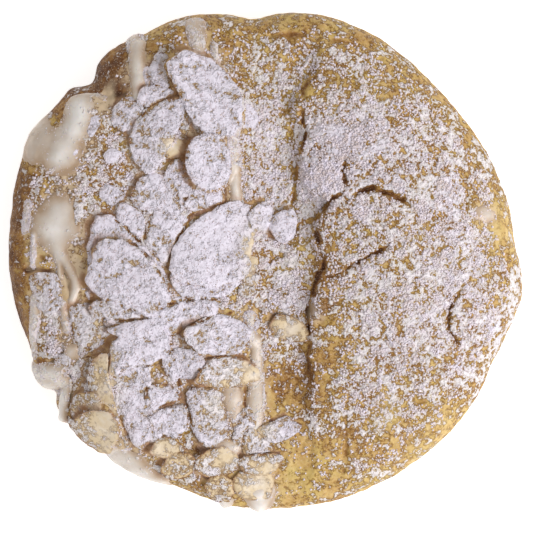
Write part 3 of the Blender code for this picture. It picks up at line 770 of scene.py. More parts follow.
# Pools: height, sugar on it, corners of its outline.
POOLS = [
    (0.24, 0.20, [(-46.3, 36), (-45, 38), (-43.2, 38.6), (-41, 39.4), (-40.2, 37.6), (-40.3, 34.5),
                  (-40.8, 32), (-42, 29.6), (-43, 27.5), (-43.8, 24.8), (-44.8, 22.4), (-48, 21.3),
                  (-50.6, 22.4), (-52, 23.6), (-54, 23.4), (-56.4, 25), (-57, 29), (-55, 32.5), (-51, 34.3),
                  (-49.3, 33), (-48, 31.6), (-46.4, 32.1), (-45.9, 34)]),
    (0.35, 0.2, [(-53.4, 8.6), (-51.5, 11.2), (-49, 13), (-46.5, 14.2), (-44.8, 13.6), (-44, 11),
                 (-43, 8.5), (-42.6, 6.6), (-44.2, 5.6), (-46, 5.8), (-46.3, 3.5), (-46.2, 1),
                 (-47.5, -0.2), (-48.9, 2), (-50.5, 4.2), (-52, 6.3)]),
    (0.5, 0.45, [(-54.2, -23), (-52, -22.7), (-50.3, -23.6), (-48.4, -23.6), (-46.4, -22.6), (-45.6, -24.5),
                 (-46, -28), (-48.3, -29.8), (-51, -29), (-53.5, -26.5), (-55, -24.5)]),
    (0.6, 0.18, [(-5, 10), (-3, 11), (-2.2, 8.5), (-2.6, 5), (-4, 2.5), (-4.3, -0.5), (-4.2, -2.6),
                 (-7.4, -2.4), (-7.8, -0.5), (-6.5, 1), (-5.2, 4)]),
    (0.5, 0.25, [(-6, -22.5), (-3, -23.5), (-1, -25.2), (-1.5, -26.9), (-5.5, -27.6), (-7, -25)]),
    (0.36, 0.30, [(-9.3, -28), (-6, -27.7), (-5.6, -31), (-5.9, -35.5), (-7.5, -37.5), (-9, -34),
                  (-10.5, -30.5)]),
    (0.6, 0.35, [(-12, -41.8), (-9, -40.2), (-6, -40.6), (-5.2, -42.5), (-7, -44.5), (-10.5, -43.8)]),
    (0.6, 0.30, [(-0.6, -49), (1.4, -48.8), (2, -52), (1.8, -55), (-0.5, -54.5), (0.4, -52)]),
    (0.55, 0.38, [(-37.3, -43.4), (-35.3, -42), (-33, -42.4), (-29.8, -44), (-26.5, -46.4), (-25.3, -48.2),
                  (-22.5, -50), (-22.3, -51.5), (-26, -51), (-31, -49), (-36, -46)]),
    (0.35, 0.10, [(48.2, 12.6), (50, 13.3), (52.8, 12), (52.6, 10.4), (50.2, 9.8), (48.3, 10.8)]),
    (0.35, 0.35, [(10.4, -9.2), (12, -9.4), (12.7, -12), (11, -13), (10.2, -11.5)]),
    (0.35, 0.20, [(-46.3, -18.4), (-43.4, -18.8), (-43.2, -21.5), (-46, -22.3)]),
]
# A stripe that starts wider than this slopes gently to its edges.
GENTLE_WIDTH = 6.9
STRIPE_EDGE = [(0.14, 4.0, 41)]
POOL_BRINK = 2.4
POOL_EDGE = [(0.35, 3.2, 42), (0.15, 1.3, 46)]
ICING_PITCH = 0.36
ICING_REACH = 74
ICING_LIFT = 0.12
ICING_OUTER = 0.8
ICING_NONE = -9.0
ICING_SINK = 0.5
ICING_HEM = 0.15
NORMAL_STEP = 0.3
ICING_FACE = [(0.16, 4.5, 43), (0.08, 1.6, 45)]
WHITE_THICKNESS = 1.15
BRINK_THICKNESS = 0.3
BRINK_SUGAR = 0.16
ICING_DRIFTS = [(0.12, 4.0, 44)]


def flat_place(x, y):
    """Where a plan place inside the rim lies on the skin drawn out flat."""
    angle = np.degrees(np.arctan2(y, x))
    share = np.hypot(x, y) / rim_radius(angle)
    length = np.interp(share, profile_share[:PROFILE_STEPS], profile_length[:PROFILE_STEPS])
    return length * np.cos(np.radians(angle)), length * np.sin(np.radians(angle))


def stripe_thickness(x, y, start, end, height, run_on, points):
    """Icing over the flat skin from one stripe: a rounded ridge that swells where its end hangs."""
    line = [tuple(float(value) for value in flat_place(*point)) for point in points]
    if run_on:
        outward = np.array(line[-1]) / math.hypot(*line[-1])
        line.append(tuple(np.array(line[-1]) + outward * run_on))
    away, along = line_distance(x, y, line)
    half = 0.5 * (start + (end - start) * along) * (1.0 + plan_unevenness(x, y, STRIPE_EDGE))
    share = away / half
    ridge = height * np.clip(1.0 - share**2, 0.0, 1.0) ** (2.0 if start > GENTLE_WIDTH else 1.0)
    return np.where(share < 1.0, ridge, -ICING_OUTER * (away - half))


def inside(x, y, line):
    """Whether places lie inside a closed line."""
    within = np.zeros(np.shape(x), dtype=bool)
    for (ax, ay), (bx, by) in zip(line, [*line[1:], line[0]]):
        if ay != by:
            within ^= ((ay > y) != (by > y)) & (x < ax + (bx - ax) * (y - ay) / (by - ay))
    return within


def pool_thickness(x, y, height, corners):
    """Icing over the flat skin from one pool: it thins out gently towards the brink."""
    line = [tuple(float(value) for value in flat_place(*corner)) for corner in corners]
    away, _ = line_distance(x, y, line + line[:1])
    depth = np.where(inside(x, y, line), away, -away) + plan_unevenness(x, y, POOL_EDGE)
    body = height * (1.0 - (1.0 - np.clip(depth / POOL_BRINK, 0.0, 1.0)) ** 2)
    return np.where(depth > 0, body, ICING_OUTER * depth)


def run_together(first, second, softness=1.0):
    """The higher of two thicknesses, run together where they are close."""
    near = np.clip(0.5 + 0.5 * (first - second) / softness, 0.0, 1.0)
    return second + (first - second) * near + softness * near * (1.0 - near) * 0.5


def icing_layer(x, y):
    """Thickness of all the icing at places of the flat skin, and the sugar that lies on it."""
    poured = [(stripe_thickness, (start, end, height, run_on, points), sugar)
              for start, end, height, run_on, sugar, points in STRIPES]
    poured += [(pool_thickness, (height, corners), sugar) for height, sugar, corners in POOLS]
    thickness = np.full(np.shape(x), ICING_NONE)
    dusted = np.zeros(np.shape(x))
    for shape, sizes, sugar in poured:
        layer = shape(x, y, *sizes)
        dusted = np.where(layer > thickness, sugar, dusted)
        thickness = run_together(layer, thickness)
    return thickness, dusted


def wrapped(x, y):
    """Places on the dough's skin, from places of the skin drawn out flat."""
    return skin(np.hypot(x, y), np.degrees(np.arctan2(y, x)))


def make_icing():
    """The icing's surface: every part of a fine flat grid where there is icing, wrapped on the skin."""
    x, y, faces = square_grid(np.arange(-ICING_REACH, ICING_REACH, ICING_PITCH))
    thickness, dusted = icing_layer(x, y)
    faces = faces[thickness[faces].max(axis=1) > -ICING_HEM]
    used, faces = np.unique(faces, return_inverse=True)
    x, y, thickness, dusted = x[used], y[used], thickness[used], dusted[used]
    floor = wrapped(x, y)
    normal = np.cross(wrapped(x + NORMAL_STEP, y) - floor, wrapped(x, y + NORMAL_STEP) - floor)
    normal /= np.linalg.norm(normal, axis=1)[:, None]
    surface = np.clip(thickness, -ICING_SINK, None) + ICING_LIFT + unevenness(floor, ICING_FACE)
    piece = new_piece("icing", floor + normal * surface[:, None], faces.reshape(-1, 4))
    keep_mask(piece, "thick", thickness / WHITE_THICKNESS)
    brink = np.clip(1.0 - thickness / BRINK_THICKNESS, 0.0, 1.0)
    keep_mask(piece, "sugar", dusted + BRINK_SUGAR * brink + unevenness(floor, ICING_DRIFTS))
    keep_mask(piece, "painted_shadow", np.zeros(len(floor)))
    return piece


ICING_COLOURS = [(0.0, 176, 152, 126), (0.18, 196, 179, 160), (0.42, 210, 201, 190), (0.80, 235, 233, 229)]


def make_set_icing():
    """Set water icing: thin parts let the crust show through, thick parts are a warm white, softly glossy."""
    material, tree, shader = new_material("set_icing")
    where = object_places(tree)
    depth = sway(tree, clouds(tree, where, 260.0, 3.0, 0.5), 0.7, kept_mask(tree, "thick"))
    sift_over(tree, shader, ramp(tree, depth, ICING_COLOURS), outline=0.0, rough=0.32, sugar_rough=0.5,
              grain=clouds(tree, where, 1600.0, 2.0, 0.5), grain_height=0.12, depth=0.00025)
    shader.inputs["Subsurface Weight"].default_value = 0.25
    shader.inputs["Subsurface Radius"].default_value = (0.0012, 0.0009, 0.0006)
    shader.inputs["Coat Weight"].default_value = 0.15
    shader.inputs["Coat Roughness"].default_value = 0.35
    return material


def piece_points(piece):
    """The places of a piece's points in millimetres."""
    return mesh_values(piece.data.vertices, "co", 3).astype(np.float64) / MM + (*OUTLINE_MIDDLE, 0.0)


def deepen(piece, name, change):
    """Adds a change to a value kept at each point of a piece."""
    kept = piece.data.attributes[name].data
    kept.foreach_set("value", np.clip(mesh_values(kept, "value") + change, 0, 1).astype(np.float32))


# The crust round the icing is soaked by it: over how far, how much film it takes, and the sugar it melts.
SOAKED_REACH = 2.2
SOAKED_FILM = 0.6
SOAKED_SUGAR = -0.12

icing = make_icing()
icing.data.materials.append(make_set_icing())
crust_places = piece_points(crust_top)
nearest_icing = icing_layer(*flat_place(crust_places[:, 0], crust_places[:, 1]))[0]
soaked = np.clip(1.0 + nearest_icing / SOAKED_REACH, 0.0, 1.0)
deepen(crust_top, "film", SOAKED_FILM * soaked)
deepen(crust_top, "sugar", SOAKED_SUGAR * soaked)
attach(icing, "root")
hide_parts("pastry")

# ------------------------------------------------------------------------------------------------
# The almonds: blanched almonds sliced about a millimetre thick, scattered on the wet icing, where
# they lie on one another and stick. Each is set down in turn on the heap of those below it.

# Lowest first: sugar on it, and its corners. Those with the most sugar lie free on top.
FLAKES = [
    (0.60, [(-19.3, 36), (-15, 36.5), (-12, 33), (-13, 29.5), (-17, 29), (-20, 31)]),
    (0.35, [(-24.5, 28), (-21, 29.2), (-18.8, 27.3), (-18.5, 25.8), (-21, 24.6), (-23.5, 24.8)]),
    (0.78, [(-31, 15), (-28.5, 19.5), (-24.5, 20.5), (-21, 18), (-18.5, 14), (-20, 11.3), (-25, 11.5),
            (-28.5, 12.3)]),
    (0.78, [(-22, 22.3), (-20.6, 23.6), (-18.5, 23), (-17.6, 20.5), (-15.3, 17.7), (-18, 15.5),
            (-21.5, 16.5), (-23, 19.5)]),
    (0.80, [(-16.5, 16.5), (-12.5, 17.7), (-10, 17.6), (-9.8, 14.4), (-12.3, 13.6), (-16.5, 12.4),
            (-18.5, 13.5)]),
    (0.95, [(-37, 25), (-35.8, 26), (-34, 25.8), (-33.3, 25), (-34.8, 24), (-36, 23.4)]),
    (0.68, [(-54.3, -3.2), (-52, -2.3), (-48.3, -2.4), (-47, -6), (-47.3, -10), (-49.5, -11.5),
            (-53.5, -9)]),
    (0.70, [(-45, -10), (-41, -9.5), (-38, -11.5), (-37.5, -15), (-39, -19), (-43.5, -18)]),
    (0.78, [(-32.4, 37.8), (-30, 37.2), (-28.4, 35.6), (-29.4, 33.3), (-30.3, 31.2), (-33, 30.8),
            (-34.6, 31.8), (-35.6, 34), (-34.4, 36.2)]),
    (0.80, [(-28.6, 39.8), (-27.2, 40.7), (-24.2, 40.5), (-20.6, 39.6), (-23, 38.3), (-25, 36.8),
            (-27.5, 36.2), (-29.3, 37.2)]),
    (0.78, [(-25.7, 47.3), (-24.5, 48.5), (-22.9, 48), (-22.3, 46), (-22, 43), (-22.4, 40.8), (-24.2, 40.3),
            (-25.6, 42), (-26.8, 44.2), (-26, 45.7)]),
    (0.80, [(-29.6, 32.2), (-27.8, 34.6), (-25, 36.7), (-22, 37.5), (-19.1, 37.7), (-18.7, 35.6),
            (-19.8, 32), (-21.5, 28.6), (-23.6, 24.8), (-25.3, 21.6), (-27.5, 21), (-29.6, 23.5),
            (-31, 28)]),
    (0.84, [(-22.2, 45.2), (-21.3, 46.8), (-20, 48.1), (-18, 48.7), (-16.2, 48.3), (-15.3, 47.2),
            (-12.6, 46.8), (-9.8, 44), (-7.9, 41.5), (-6, 38.8), (-5.7, 35), (-6.3, 31), (-9, 29.5),
            (-14, 30), (-16.5, 33), (-18.3, 36.5), (-20, 40), (-21.7, 42.8)]),
    (0.90, [(-16.5, 28.3), (-13.5, 29.4), (-10, 28.6), (-8.6, 25.5), (-8.2, 21.5), (-9, 18.6), (-12, 17.3),
            (-15.2, 17.6), (-17.2, 20.2), (-18, 23.3), (-17.4, 26)]),
    (0.97, [(-34, 10.4), (-33.6, 12.7), (-32.6, 13.8), (-29, 11.7), (-27.9, 9.5), (-28.6, 6.8), (-31, 7),
            (-33, 8.6)]),
    (0.78, [(-25.8, 11.4), (-21, 11.4), (-18.3, 10.4), (-18.7, 8.2), (-20.4, 6), (-22, 2), (-23.3, 0.3),
            (-25.5, 2.5), (-27.4, 5.4), (-27, 8.3)]),
    (0.88, [(-39.1, 9.5), (-38, 10.8), (-36, 11), (-33.5, 9.8), (-30.5, 7), (-28, 3.6), (-24.5, -0.3),
            (-22, -4.5), (-30, -6), (-40, -2), (-40.6, 4)]),
    (0.82, [(-21.8, -2.8), (-19.6, -6.5), (-17.5, -7.8), (-12, -8.1), (-9, -6.8), (-6, -4), (-7, -1),
            (-18, 0)]),
    (0.80, [(-22.4, -9.8), (-18, -9.1), (-14, -8.2), (-11.9, -8.3), (-11, -9.5), (-11.4, -11.2),
            (-13.5, -12.4), (-17.8, -14.1), (-21.5, -16.2), (-25, -15.5), (-27, -13), (-25.5, -10.5)]),
    (0.72, [(-40.2, -10), (-39, -8.8), (-36, -8.6), (-33, -9.4), (-30.3, -10.8), (-28.3, -12.2),
            (-31, -12.4), (-34.5, -12), (-39.5, -12.3)]),
    (0.80, [(-23.5, -21.5), (-20, -19.6), (-16.5, -20.3), (-14.5, -23), (-16.5, -26), (-19.5, -25.6),
            (-22.5, -25.3)]),
    (0.82, [(-38.2, 4.7), (-36, 5.4), (-32.3, 5), (-30, 4), (-27.5, 1.8), (-25, -0.8), (-23.4, -3.3),
            (-22, -6.3), (-22.3, -9.3), (-26.6, -12), (-29, -11.2), (-32, -9.4), (-36.5, -8.2), (-39.5, -6),
            (-41, -3.8), (-39.4, 1)]),
    (0.77, [(-18.2, -15.8), (-17.3, -14.6), (-14.2, -12.8), (-12, -12), (-9.5, -12.1), (-6, -13.3),
            (-3.8, -14.5), (-4.2, -18), (-6.5, -20.3), (-11, -20.7), (-15, -20), (-17.8, -18)]),
    (0.66, [(-13.6, -23.6), (-12.4, -22.2), (-10.5, -21.4), (-8, -21.6), (-5, -22.3), (-2, -24),
            (-1.6, -26.6), (-5, -27.6), (-9, -28), (-12.8, -27.8), (-16, -27), (-15, -24.8)]),
    (0.80, [(-35, -19), (-31, -20.5), (-27, -23.5), (-26.5, -27), (-27, -30), (-27, -33), (-24.5, -36),
            (-24, -39.5), (-26, -40.5), (-28.2, -41.9), (-30, -41.7), (-31.6, -38.5), (-33.2, -35.3),
            (-34.8, -31.5), (-35.9, -27.5), (-35.8, -23.5)]),
    (0.90, [(-36, -14.9), (-33, -14.2), (-29, -13.2), (-25.5, -12.6), (-23.6, -15), (-22.2, -18.6),
            (-22.6, -20.6), (-26.5, -22.6), (-29.5, -23.3), (-33, -23.4), (-33.4, -25), (-35.6, -25),
            (-35, -20), (-35, -18.3), (-33, -16.8), (-35.8, -15.8)]),
    (0.68, [(-40.8, -26), (-40, -22.8), (-38, -21.3), (-36, -20.5), (-36.1, -26), (-35, -32),
            (-32.8, -37.5), (-31.4, -41.5), (-33.6, -42.6), (-37, -39.5), (-39.8, -33)]),
    (0.66, [(-45, -33), (-43.4, -30.3), (-39.6, -29.4), (-38, -32.5), (-39.5, -36), (-43.8, -36.3)]),
    (0.58, [(-45.3, -37.3), (-43, -35.5), (-41.5, -34.4), (-39, -34), (-36, -34.3), (-34, -36.5),
            (-34.2, -40.5), (-36, -43.2), (-38.5, -43.2), (-42.5, -40.5)]),
    (0.55, [(-26.6, -43.6), (-25, -40.9), (-23.5, -39.8), (-21.3, -40.6), (-18.6, -42.6), (-20.5, -43.6),
            (-23, -44.3)]),
    (0.84, [(-27.2, -29), (-25.8, -28), (-22.5, -28), (-20.7, -28.8), (-20, -30.6), (-22.3, -31.6),
            (-24.3, -32.8), (-26.4, -33.2), (-27.2, -31.2)]),
    (0.76, [(-26.7, -35), (-24, -33.8), (-20, -32.6), (-18.3, -33), (-18.2, -35.8), (-19, -38),
            (-21, -39.8), (-24, -38.3)]),
    (0.74, [(-18, -29.8), (-16.3, -28.8), (-12.5, -28.6), (-11, -29.8), (-10.2, -33), (-9.4, -36.5),
            (-8.8, -38.5), (-12.2, -42.2), (-14.6, -41), (-16.4, -38), (-17, -34)]),
    (0.52, [(-24, -47.4), (-22.3, -44.8), (-20.5, -43.5), (-17.6, -43.8), (-16.2, -45.2), (-16.4, -47.3),
            (-19.3, -49.3), (-22.8, -49)]),
    (0.62, [(-16.1, -46), (-15.4, -44.4), (-12.5, -42.8), (-9.5, -42.2), (-6.6, -44.3), (-6.6, -46.8),
            (-9.5, -48.6), (-13.3, -48.8), (-15, -47.8)]),
    (0.50, [(-13.9, -51.2), (-12.4, -49.2), (-10, -48.8), (-8, -50), (-7.4, -52.5), (-8.8, -54.7),
            (-11.6, -54.7), (-13.2, -53.2)]),
    (0.58, [(-7.4, -50), (-5.5, -47.8), (0.8, -48), (1.6, -50.5), (0.5, -53.8), (-3.5, -54.2),
            (-6.6, -53)]),
    (0.72, [(-5.8, -36.3), (-4, -34.7), (-2.6, -35.8), (-2.2, -37.8), (-4.3, -38.3), (-5.4, -40.6),
            (-7.5, -40.3), (-6.9, -38)]),
    (0.70, [(-4.8, -40), (-4, -38.3), (-2.4, -38.2), (0, -40.6), (2, -42.5), (-1, -43.5), (-4, -44),
            (-5, -42.5)]),
    (0.78, [(-2, -38.2), (0, -37), (2.3, -36.4), (4.8, -35.1), (6, -36.4), (8, -36.8), (7, -38.6),
            (4.5, -40.1), (1.8, -40.8), (0, -39.8)]),
    (0.68, [(-6.2, -45.5), (-4.3, -44.3), (-1.5, -44), (2.8, -43.6), (3.6, -44.6), (2.3, -47), (0, -48.4),
            (-4.5, -48)]),
    (1.0, [(-21.5, 0.4), (-20.9, 3), (-19.8, 5.7), (-18, 7.9), (-15.5, 9.6), (-12.5, 11.6), (-11, 13),
           (-8.8, 13.8), (-6.3, 14), (-4.2, 13.3), (-3, 11), (-3, 7.5), (-3.8, 3), (-4, -1), (-5.5, -3.2),
           (-8.5, -4), (-12, -5), (-16, -4.3), (-19.3, -3.8), (-21.3, -2.5)]),
    (0.92, [(-3.8, 11.3), (-2, 12.8), (-0.5, 14), (1.3, 12.4), (1.5, 10.4), (0, 8), (-3, 8.2)]),
    (0.90, [(1.6, 10.4), (3.2, 11.5), (5.5, 12.4), (6.7, 11.2), (6.6, 8), (6.2, 6.2), (4.3, 5.2), (2.4, 6),
            (1.3, 8.5)]),
    (0.60, [(0.9, -14.3), (2.8, -11.9), (5, -12.2), (8, -13.3), (9.4, -15.4), (9.4, -17.8), (6, -17.4),
            (2.8, -16.6)]),
]
# Where wet icing ran over the flakes: middle, reach along X and Y, how thickly.
GLAZE_PATCHES = [
    (-36.5, -30, 2.6, 12, 1.0), (-39, -38.5, 6, 5, 0.3), (-31, -45.5, 6, 3, 1.1), (-9, -44, 3, 2.5, 0.8),
    (0, -38.5, 2.5, 2, 0.9), (1, -46.8, 3, 1.5, 0.8), (-2, -51.5, 4, 3, 1.0), (-3.5, -25, 3, 3, 1.0),
    (-3.6, 4, 3.0, 8, 1.1), (-21.5, 27, 2.5, 2, 0.9), (5.5, -14.8, 3.5, 2.5, 0.9), (-10.5, -31.5, 3, 4, 0.6),
    (-23, -42, 3, 2, 0.6),
]
# Gaps between the flakes, too deep for the sugar and painted dark as shade: width and points from end to end.
GAPS = [
    (0.5, [(-33, -23.6), (-30, -23.5), (-27, -23.2)]),
    (0.35, [(-37.5, -8), (-33.5, -8.9), (-30.5, -10.2), (-27, -12)]), (0.3, [(-21.7, 17.9), (-20, 16.3)]),
    (0.8, [(-22, -9.3), (-19.5, -8.3)]), (0.3, [(-19.5, -8.3), (-16, -8.2), (-12, -8)]),
    (0.35, [(-22.2, 44.5), (-21.3, 41.5), (-19.5, 38.4)]),
    (0.9, [(-29.3, 32.8), (-27.3, 35.3), (-24.5, 37.2), (-21, 38.5)]), (0.6, [(-21, 38.5), (-19.4, 38.5)]),
    (1.1, [(-18, 24.2), (-19.8, 25.4), (-22.3, 23.5)]), (0.9, [(-9.2, 17.2), (-9.1, 14.8)]),
    (0.8, [(-9, 14.4), (-13, 12.7)]), (1.2, [(-14, 12.3), (-17.3, 10.9)]),
    (0.9, [(-17.3, 10.5), (-20.2, 6), (-21.9, 1), (-22.5, -1)]),
    (0.45, [(-26, 11.3), (-26.7, 9), (-27.7, 6)]), (0.3, [(-33, 14.2), (-29.5, 12.3), (-26, 11.5)]),
    (0.35, [(-38, 5.1), (-34, 5.7), (-30, 4.3), (-27.5, 2), (-24, -2.4), (-21.9, -6)]),
    (0.3, [(-34.5, 10.1), (-32, 8.2), (-30, 6.2), (-28.5, 4.5)]),
    (0.8, [(-35.8, -12.6), (-33, -12.9), (-30, -12.7)]), (1.1, [(-36.6, -19), (-36.3, -17), (-34, -16.8)]),
    (0.7, [(-42, -21.6), (-39, -20.8), (-36.5, -20.4)]), (0.7, [(-33.5, -35), (-32.7, -38), (-33, -41)]),
    (0.45, [(-27.6, -31), (-27.3, -28.5), (-22.5, -27.8)]),
    (0.45, [(-24.2, -32.9), (-21.5, -31.7), (-19.5, -31)]),
    (0.7, [(-20, -26.5), (-19.2, -30.8), (-18, -33), (-17.2, -36.5)]), (0.3, [(-19.8, -39), (-18.4, -41)]),
    (2.0, [(-15.6, -42.3), (-13.2, -42.6)]), (0.5, [(-14.8, -21.8), (-12.5, -21.4), (-8, -21)]),
    (0.8, [(-17, -28.5), (-15, -27.7), (-13, -28.3)]),
    (0.4, [(-21.5, -16.4), (-18, -14.3), (-15.5, -13.3), (-12, -11.8)]), (0.7, [(-4.7, -28), (-4.8, -35)]),
    (0.4, [(-4.3, -18.3), (-4.2, -23.2)]), (0.6, [(-28.5, -43), (-26.8, -41.3)]),
    (0.35, [(-31, -43.2), (-27, -45.8)]), (0.35, [(-22.3, -44), (-20, -43.2)]),
    (0.35, [(-4.5, -44.1), (3, -43.4)]), (0.6, [(-6, -46.4), (-5.4, -47.5)]),
    (0.7, [(-14.5, -49), (-12.8, -49.2)]), (0.4, [(-8, -49.8), (-7, -52.5), (-6.3, -54.5)]),
    (0.6, [(1, -36.2), (4, -34.4)]), (0.5, [(-7.5, -11), (-9, -11.5)]), (0.5, [(-9.3, -3.2), (-8.2, -1.8)]),
]
GAP_EDGE = [(0.25, 1.6, 56), (0.15, 0.7, 57)]
GAP_FADE = [(0.6, 3.5, 59)]
GAP_MIDDLE = 1.2
GAP_SLOPE = 1.5
GAP_WIDTH_SHARE = 0.6
GAP_LEAST_WIDTH = 0.1
GAP_LEVEL = 0.85
GAP_LEAST = 0.3
GAP_DROP = 0.5

FLAKE_THICKNESS = 0.9
FLAKE_GROWTH = 0.5
FLAKE_CUP = 0.35
FLAKE_CUP_ACROSS = 0.6
FLAKE_TWIST = 0.25
FULL_CURL_WIDTH = 8.0
SPANS_PER_SPREAD = 2.83
EDGE_ROUNDING = 10
TOAST_SHARPNESS = 14
FLAKE_EDGE = [(0.04, 1.1, 51)]
FLAKE_FACE = [(0.2, 5.0, 52), (0.15, 1.7, 53)]
FLAKE_PITCH = 0.5
CORNER_WEAR = 0.13

# How a flake settles: how far it sinks into what it lies on, less where it lies free on top, how far
# into the crust, and how steeply it leans and how sharply it bends at most.
FLAKE_SINK = 0.7
FREE_FLAKE_SINK = 0.3
FREE_FLAKE_SUGAR = 0.95
CRUST_SINK = 0.7
STEEPEST_LEAN = 0.8
SHARPEST_BEND = 0.006
HEAP_PITCH = 0.3
HEAP_REACH = 62


def gap_level(x, y):
    """How deep in a gap between flakes a place lies, from 0 to 1."""
    wander = plan_unevenness(x, y, GAP_EDGE)
    level = np.zeros(np.shape(x))
    for width, points in GAPS:
        away, _ = line_distance(x, y, points)
        share = (away + wander) / (GAP_WIDTH_SHARE * width + GAP_LEAST_WIDTH)
        level = np.maximum(level, np.clip(GAP_MIDDLE - GAP_SLOPE * share, 0.0, 1.0))
    return level * np.clip(GAP_LEVEL + plan_unevenness(x, y, GAP_FADE), GAP_LEAST, 1.0)


def crust_height(x, y):
    """Height of the bare crust above the base, at places inside the rim."""
    share = np.hypot(x, y) / rim_radius(np.degrees(np.arctan2(y, x)))
    shoulder = np.sqrt(np.clip(1.0 - share**SHOULDER_POWER, 0.0, 1.0))
    return WAIST + (TOP - WAIST + broad_relief(x, y)) * shoulder


heap_marks = np.arange(-HEAP_REACH, HEAP_REACH + HEAP_PITCH, HEAP_PITCH)
heap_x, heap_y = np.meshgrid(heap_marks, heap_marks, indexing="ij")
bare_heap = crust_height(heap_x.ravel(), heap_y.ravel()).reshape(heap_x.shape)
heap = bare_heap.copy()


def settle(outline, curl, sink):
    """Drops a flake on the heap, where it leans and bends with what it lies on, and adds it to the heap."""
    low = np.floor((outline.min(axis=0) + HEAP_REACH) / HEAP_PITCH).astype(int)
    high = np.ceil((outline.max(axis=0) + HEAP_REACH) / HEAP_PITCH).astype(int) + 1
    window = (slice(low[0], high[0]), slice(low[1], high[1]))
    within = inside(heap_x[window], heap_y[window], outline.tolist())
    x, y = heap_x[window][within], heap_y[window][within]
    middle = (x.mean(), y.mean())
    bare = heap[window][within] - curl(x, y)

    def terms(px, py):
        px, py = px - middle[0], py - middle[1]
        return np.column_stack((np.ones_like(px), px, py, px * px, px * py, py * py))

    table = terms(x, y)
    lean = np.linalg.lstsq(table, bare, rcond=None)[0]
    lean[1:3] = np.clip(lean[1:3], -STEEPEST_LEAN, STEEPEST_LEAN)
    lean[3:] = np.clip(lean[3:], -SHARPEST_BEND, SHARPEST_BEND)
    floor = table @ lean
    stands = (bare - floor).max() - sink
    lean[0] += max(stands, (bare_heap[window][within] - curl(x, y) - floor).max() - CRUST_SINK)
    top = table @ lean + curl(x, y) + FLAKE_THICKNESS
    heap[window][within] = np.maximum(heap[window][within], top)
    return lambda px, py: terms(px, py) @ lean + curl(px, py)


def rounded_outline(corners):
    """A flake's outline: its corners worn round, and points set evenly along it."""
    line = np.array(corners, dtype=float)
    keep = 1.0 - CORNER_WEAR
    for _ in range(2):
        after = np.roll(line, -1, axis=0)
        line = np.stack((keep * line + CORNER_WEAR * after, CORNER_WEAR * line + keep * after), axis=1)
        line = line.reshape(-1, 2)
    line = np.vstack((line, line[:1]))
    run = np.concatenate(([0.0], np.cumsum(np.hypot(*np.diff(line, axis=0).T))))
    marks = np.arange(0.0, run[-1] - 0.5 * FLAKE_PITCH, FLAKE_PITCH)
    return np.column_stack([np.interp(marks, run, line[:, axis]) for axis in (0, 1)])


def band_faces(inner, outer, steps):
    """Triangles between two rings of points, given by their first points and the steps round them."""
    after = (steps + 1) % len(steps)
    return np.concatenate((np.column_stack((inner + steps, outer + steps, outer + after)),
                           np.column_stack((inner + steps, outer + after, inner + after))))


def flake_mesh(number, corners, sink):
    """Points and faces of one settled flake, and how near each point is to the flake's edge."""
    outline = rounded_outline(corners)
    centre = outline.mean(axis=0)
    spread = outline - centre
    spread = spread * (1.0 + FLAKE_GROWTH / np.hypot(*spread.T))[:, None]
    spread = spread * (1.0 + plan_unevenness(outline[:, 0], outline[:, 1] + 9 * number, FLAKE_EDGE))[:, None]
    directions = np.linalg.svd(spread, full_matrices=False)[2]
    length, width = SPANS_PER_SPREAD * np.std(spread @ directions.T, axis=0)
    segments = len(outline)
    rings = max(3, round(0.5 * float(width) / FLAKE_PITCH))
    share = np.concatenate(([0.0], np.repeat(np.linspace(1.0 / rings, 1.0, rings), segments)))
    px, py = (share[:, None] * np.vstack((spread[:1], np.tile(spread, (rings, 1)))) + centre).T

    def curl(x, y):
        along, across = (2 * (np.column_stack((x, y)) - centre) @ directions.T / (length, width)).T
        bend = FLAKE_CUP * (along**2 - FLAKE_CUP_ACROSS * across**2) + FLAKE_TWIST * along * across
        return bend * min(1.0, float(width) / FULL_CURL_WIDTH)

    floor = settle(spread + centre, curl, sink)(px, py)
    floor = floor + plan_unevenness(px + 40 * number, py, FLAKE_FACE) - GAP_DROP * gap_level(px, py)
    rounding = np.sqrt(np.clip(1.0 - share**EDGE_ROUNDING, 0.0, 1.0))
    over = np.column_stack((px, py, floor + FLAKE_THICKNESS * (0.5 + 0.5 * rounding)))
    under = np.column_stack((px, py, floor + FLAKE_THICKNESS * 0.5 * (1.0 - rounding)))
    steps = np.arange(segments)
    after = (steps + 1) % segments
    last = 1 + (rings - 1) * segments
    top = [np.column_stack((0 * steps, 1 + steps, 1 + after))]
    top += [band_faces(inner, inner + segments, steps) for inner in range(1, last, segments)]
    top = np.concatenate(top)
    side = band_faces(last, len(over) + last, steps)
    if np.cross(*(spread[after] - spread, spread)).sum() > 0:
        top, side = top[:, ::-1], side[:, ::-1]
    faces = np.concatenate((top, len(over) + top[:, ::-1], side))
    return np.concatenate((over, under)), faces, np.tile(share, 2)


# Broken bits of almond: how many, and how far out; where they lie along X and Y; how large a bit is, how
# uneven its corners are; and their sugar, with less of it on those nearest the lower end.
BITS = 90
BITS_SEED = 7
BITS_REACH = 52
BITS_ACROSS = (-47, -3)
BITS_ALONG = (-49, 47)
BIT_SIZES = (1.2, 3.0)
BIT_CORNERS = 6
BIT_TURN = 0.35
BIT_REACHES = (0.6, 1.25)
BIT_SUGAR = (0.6, 0.9)
LOW_BITS_FROM = -36.0
LOW_BITS_SUGAR = -0.22


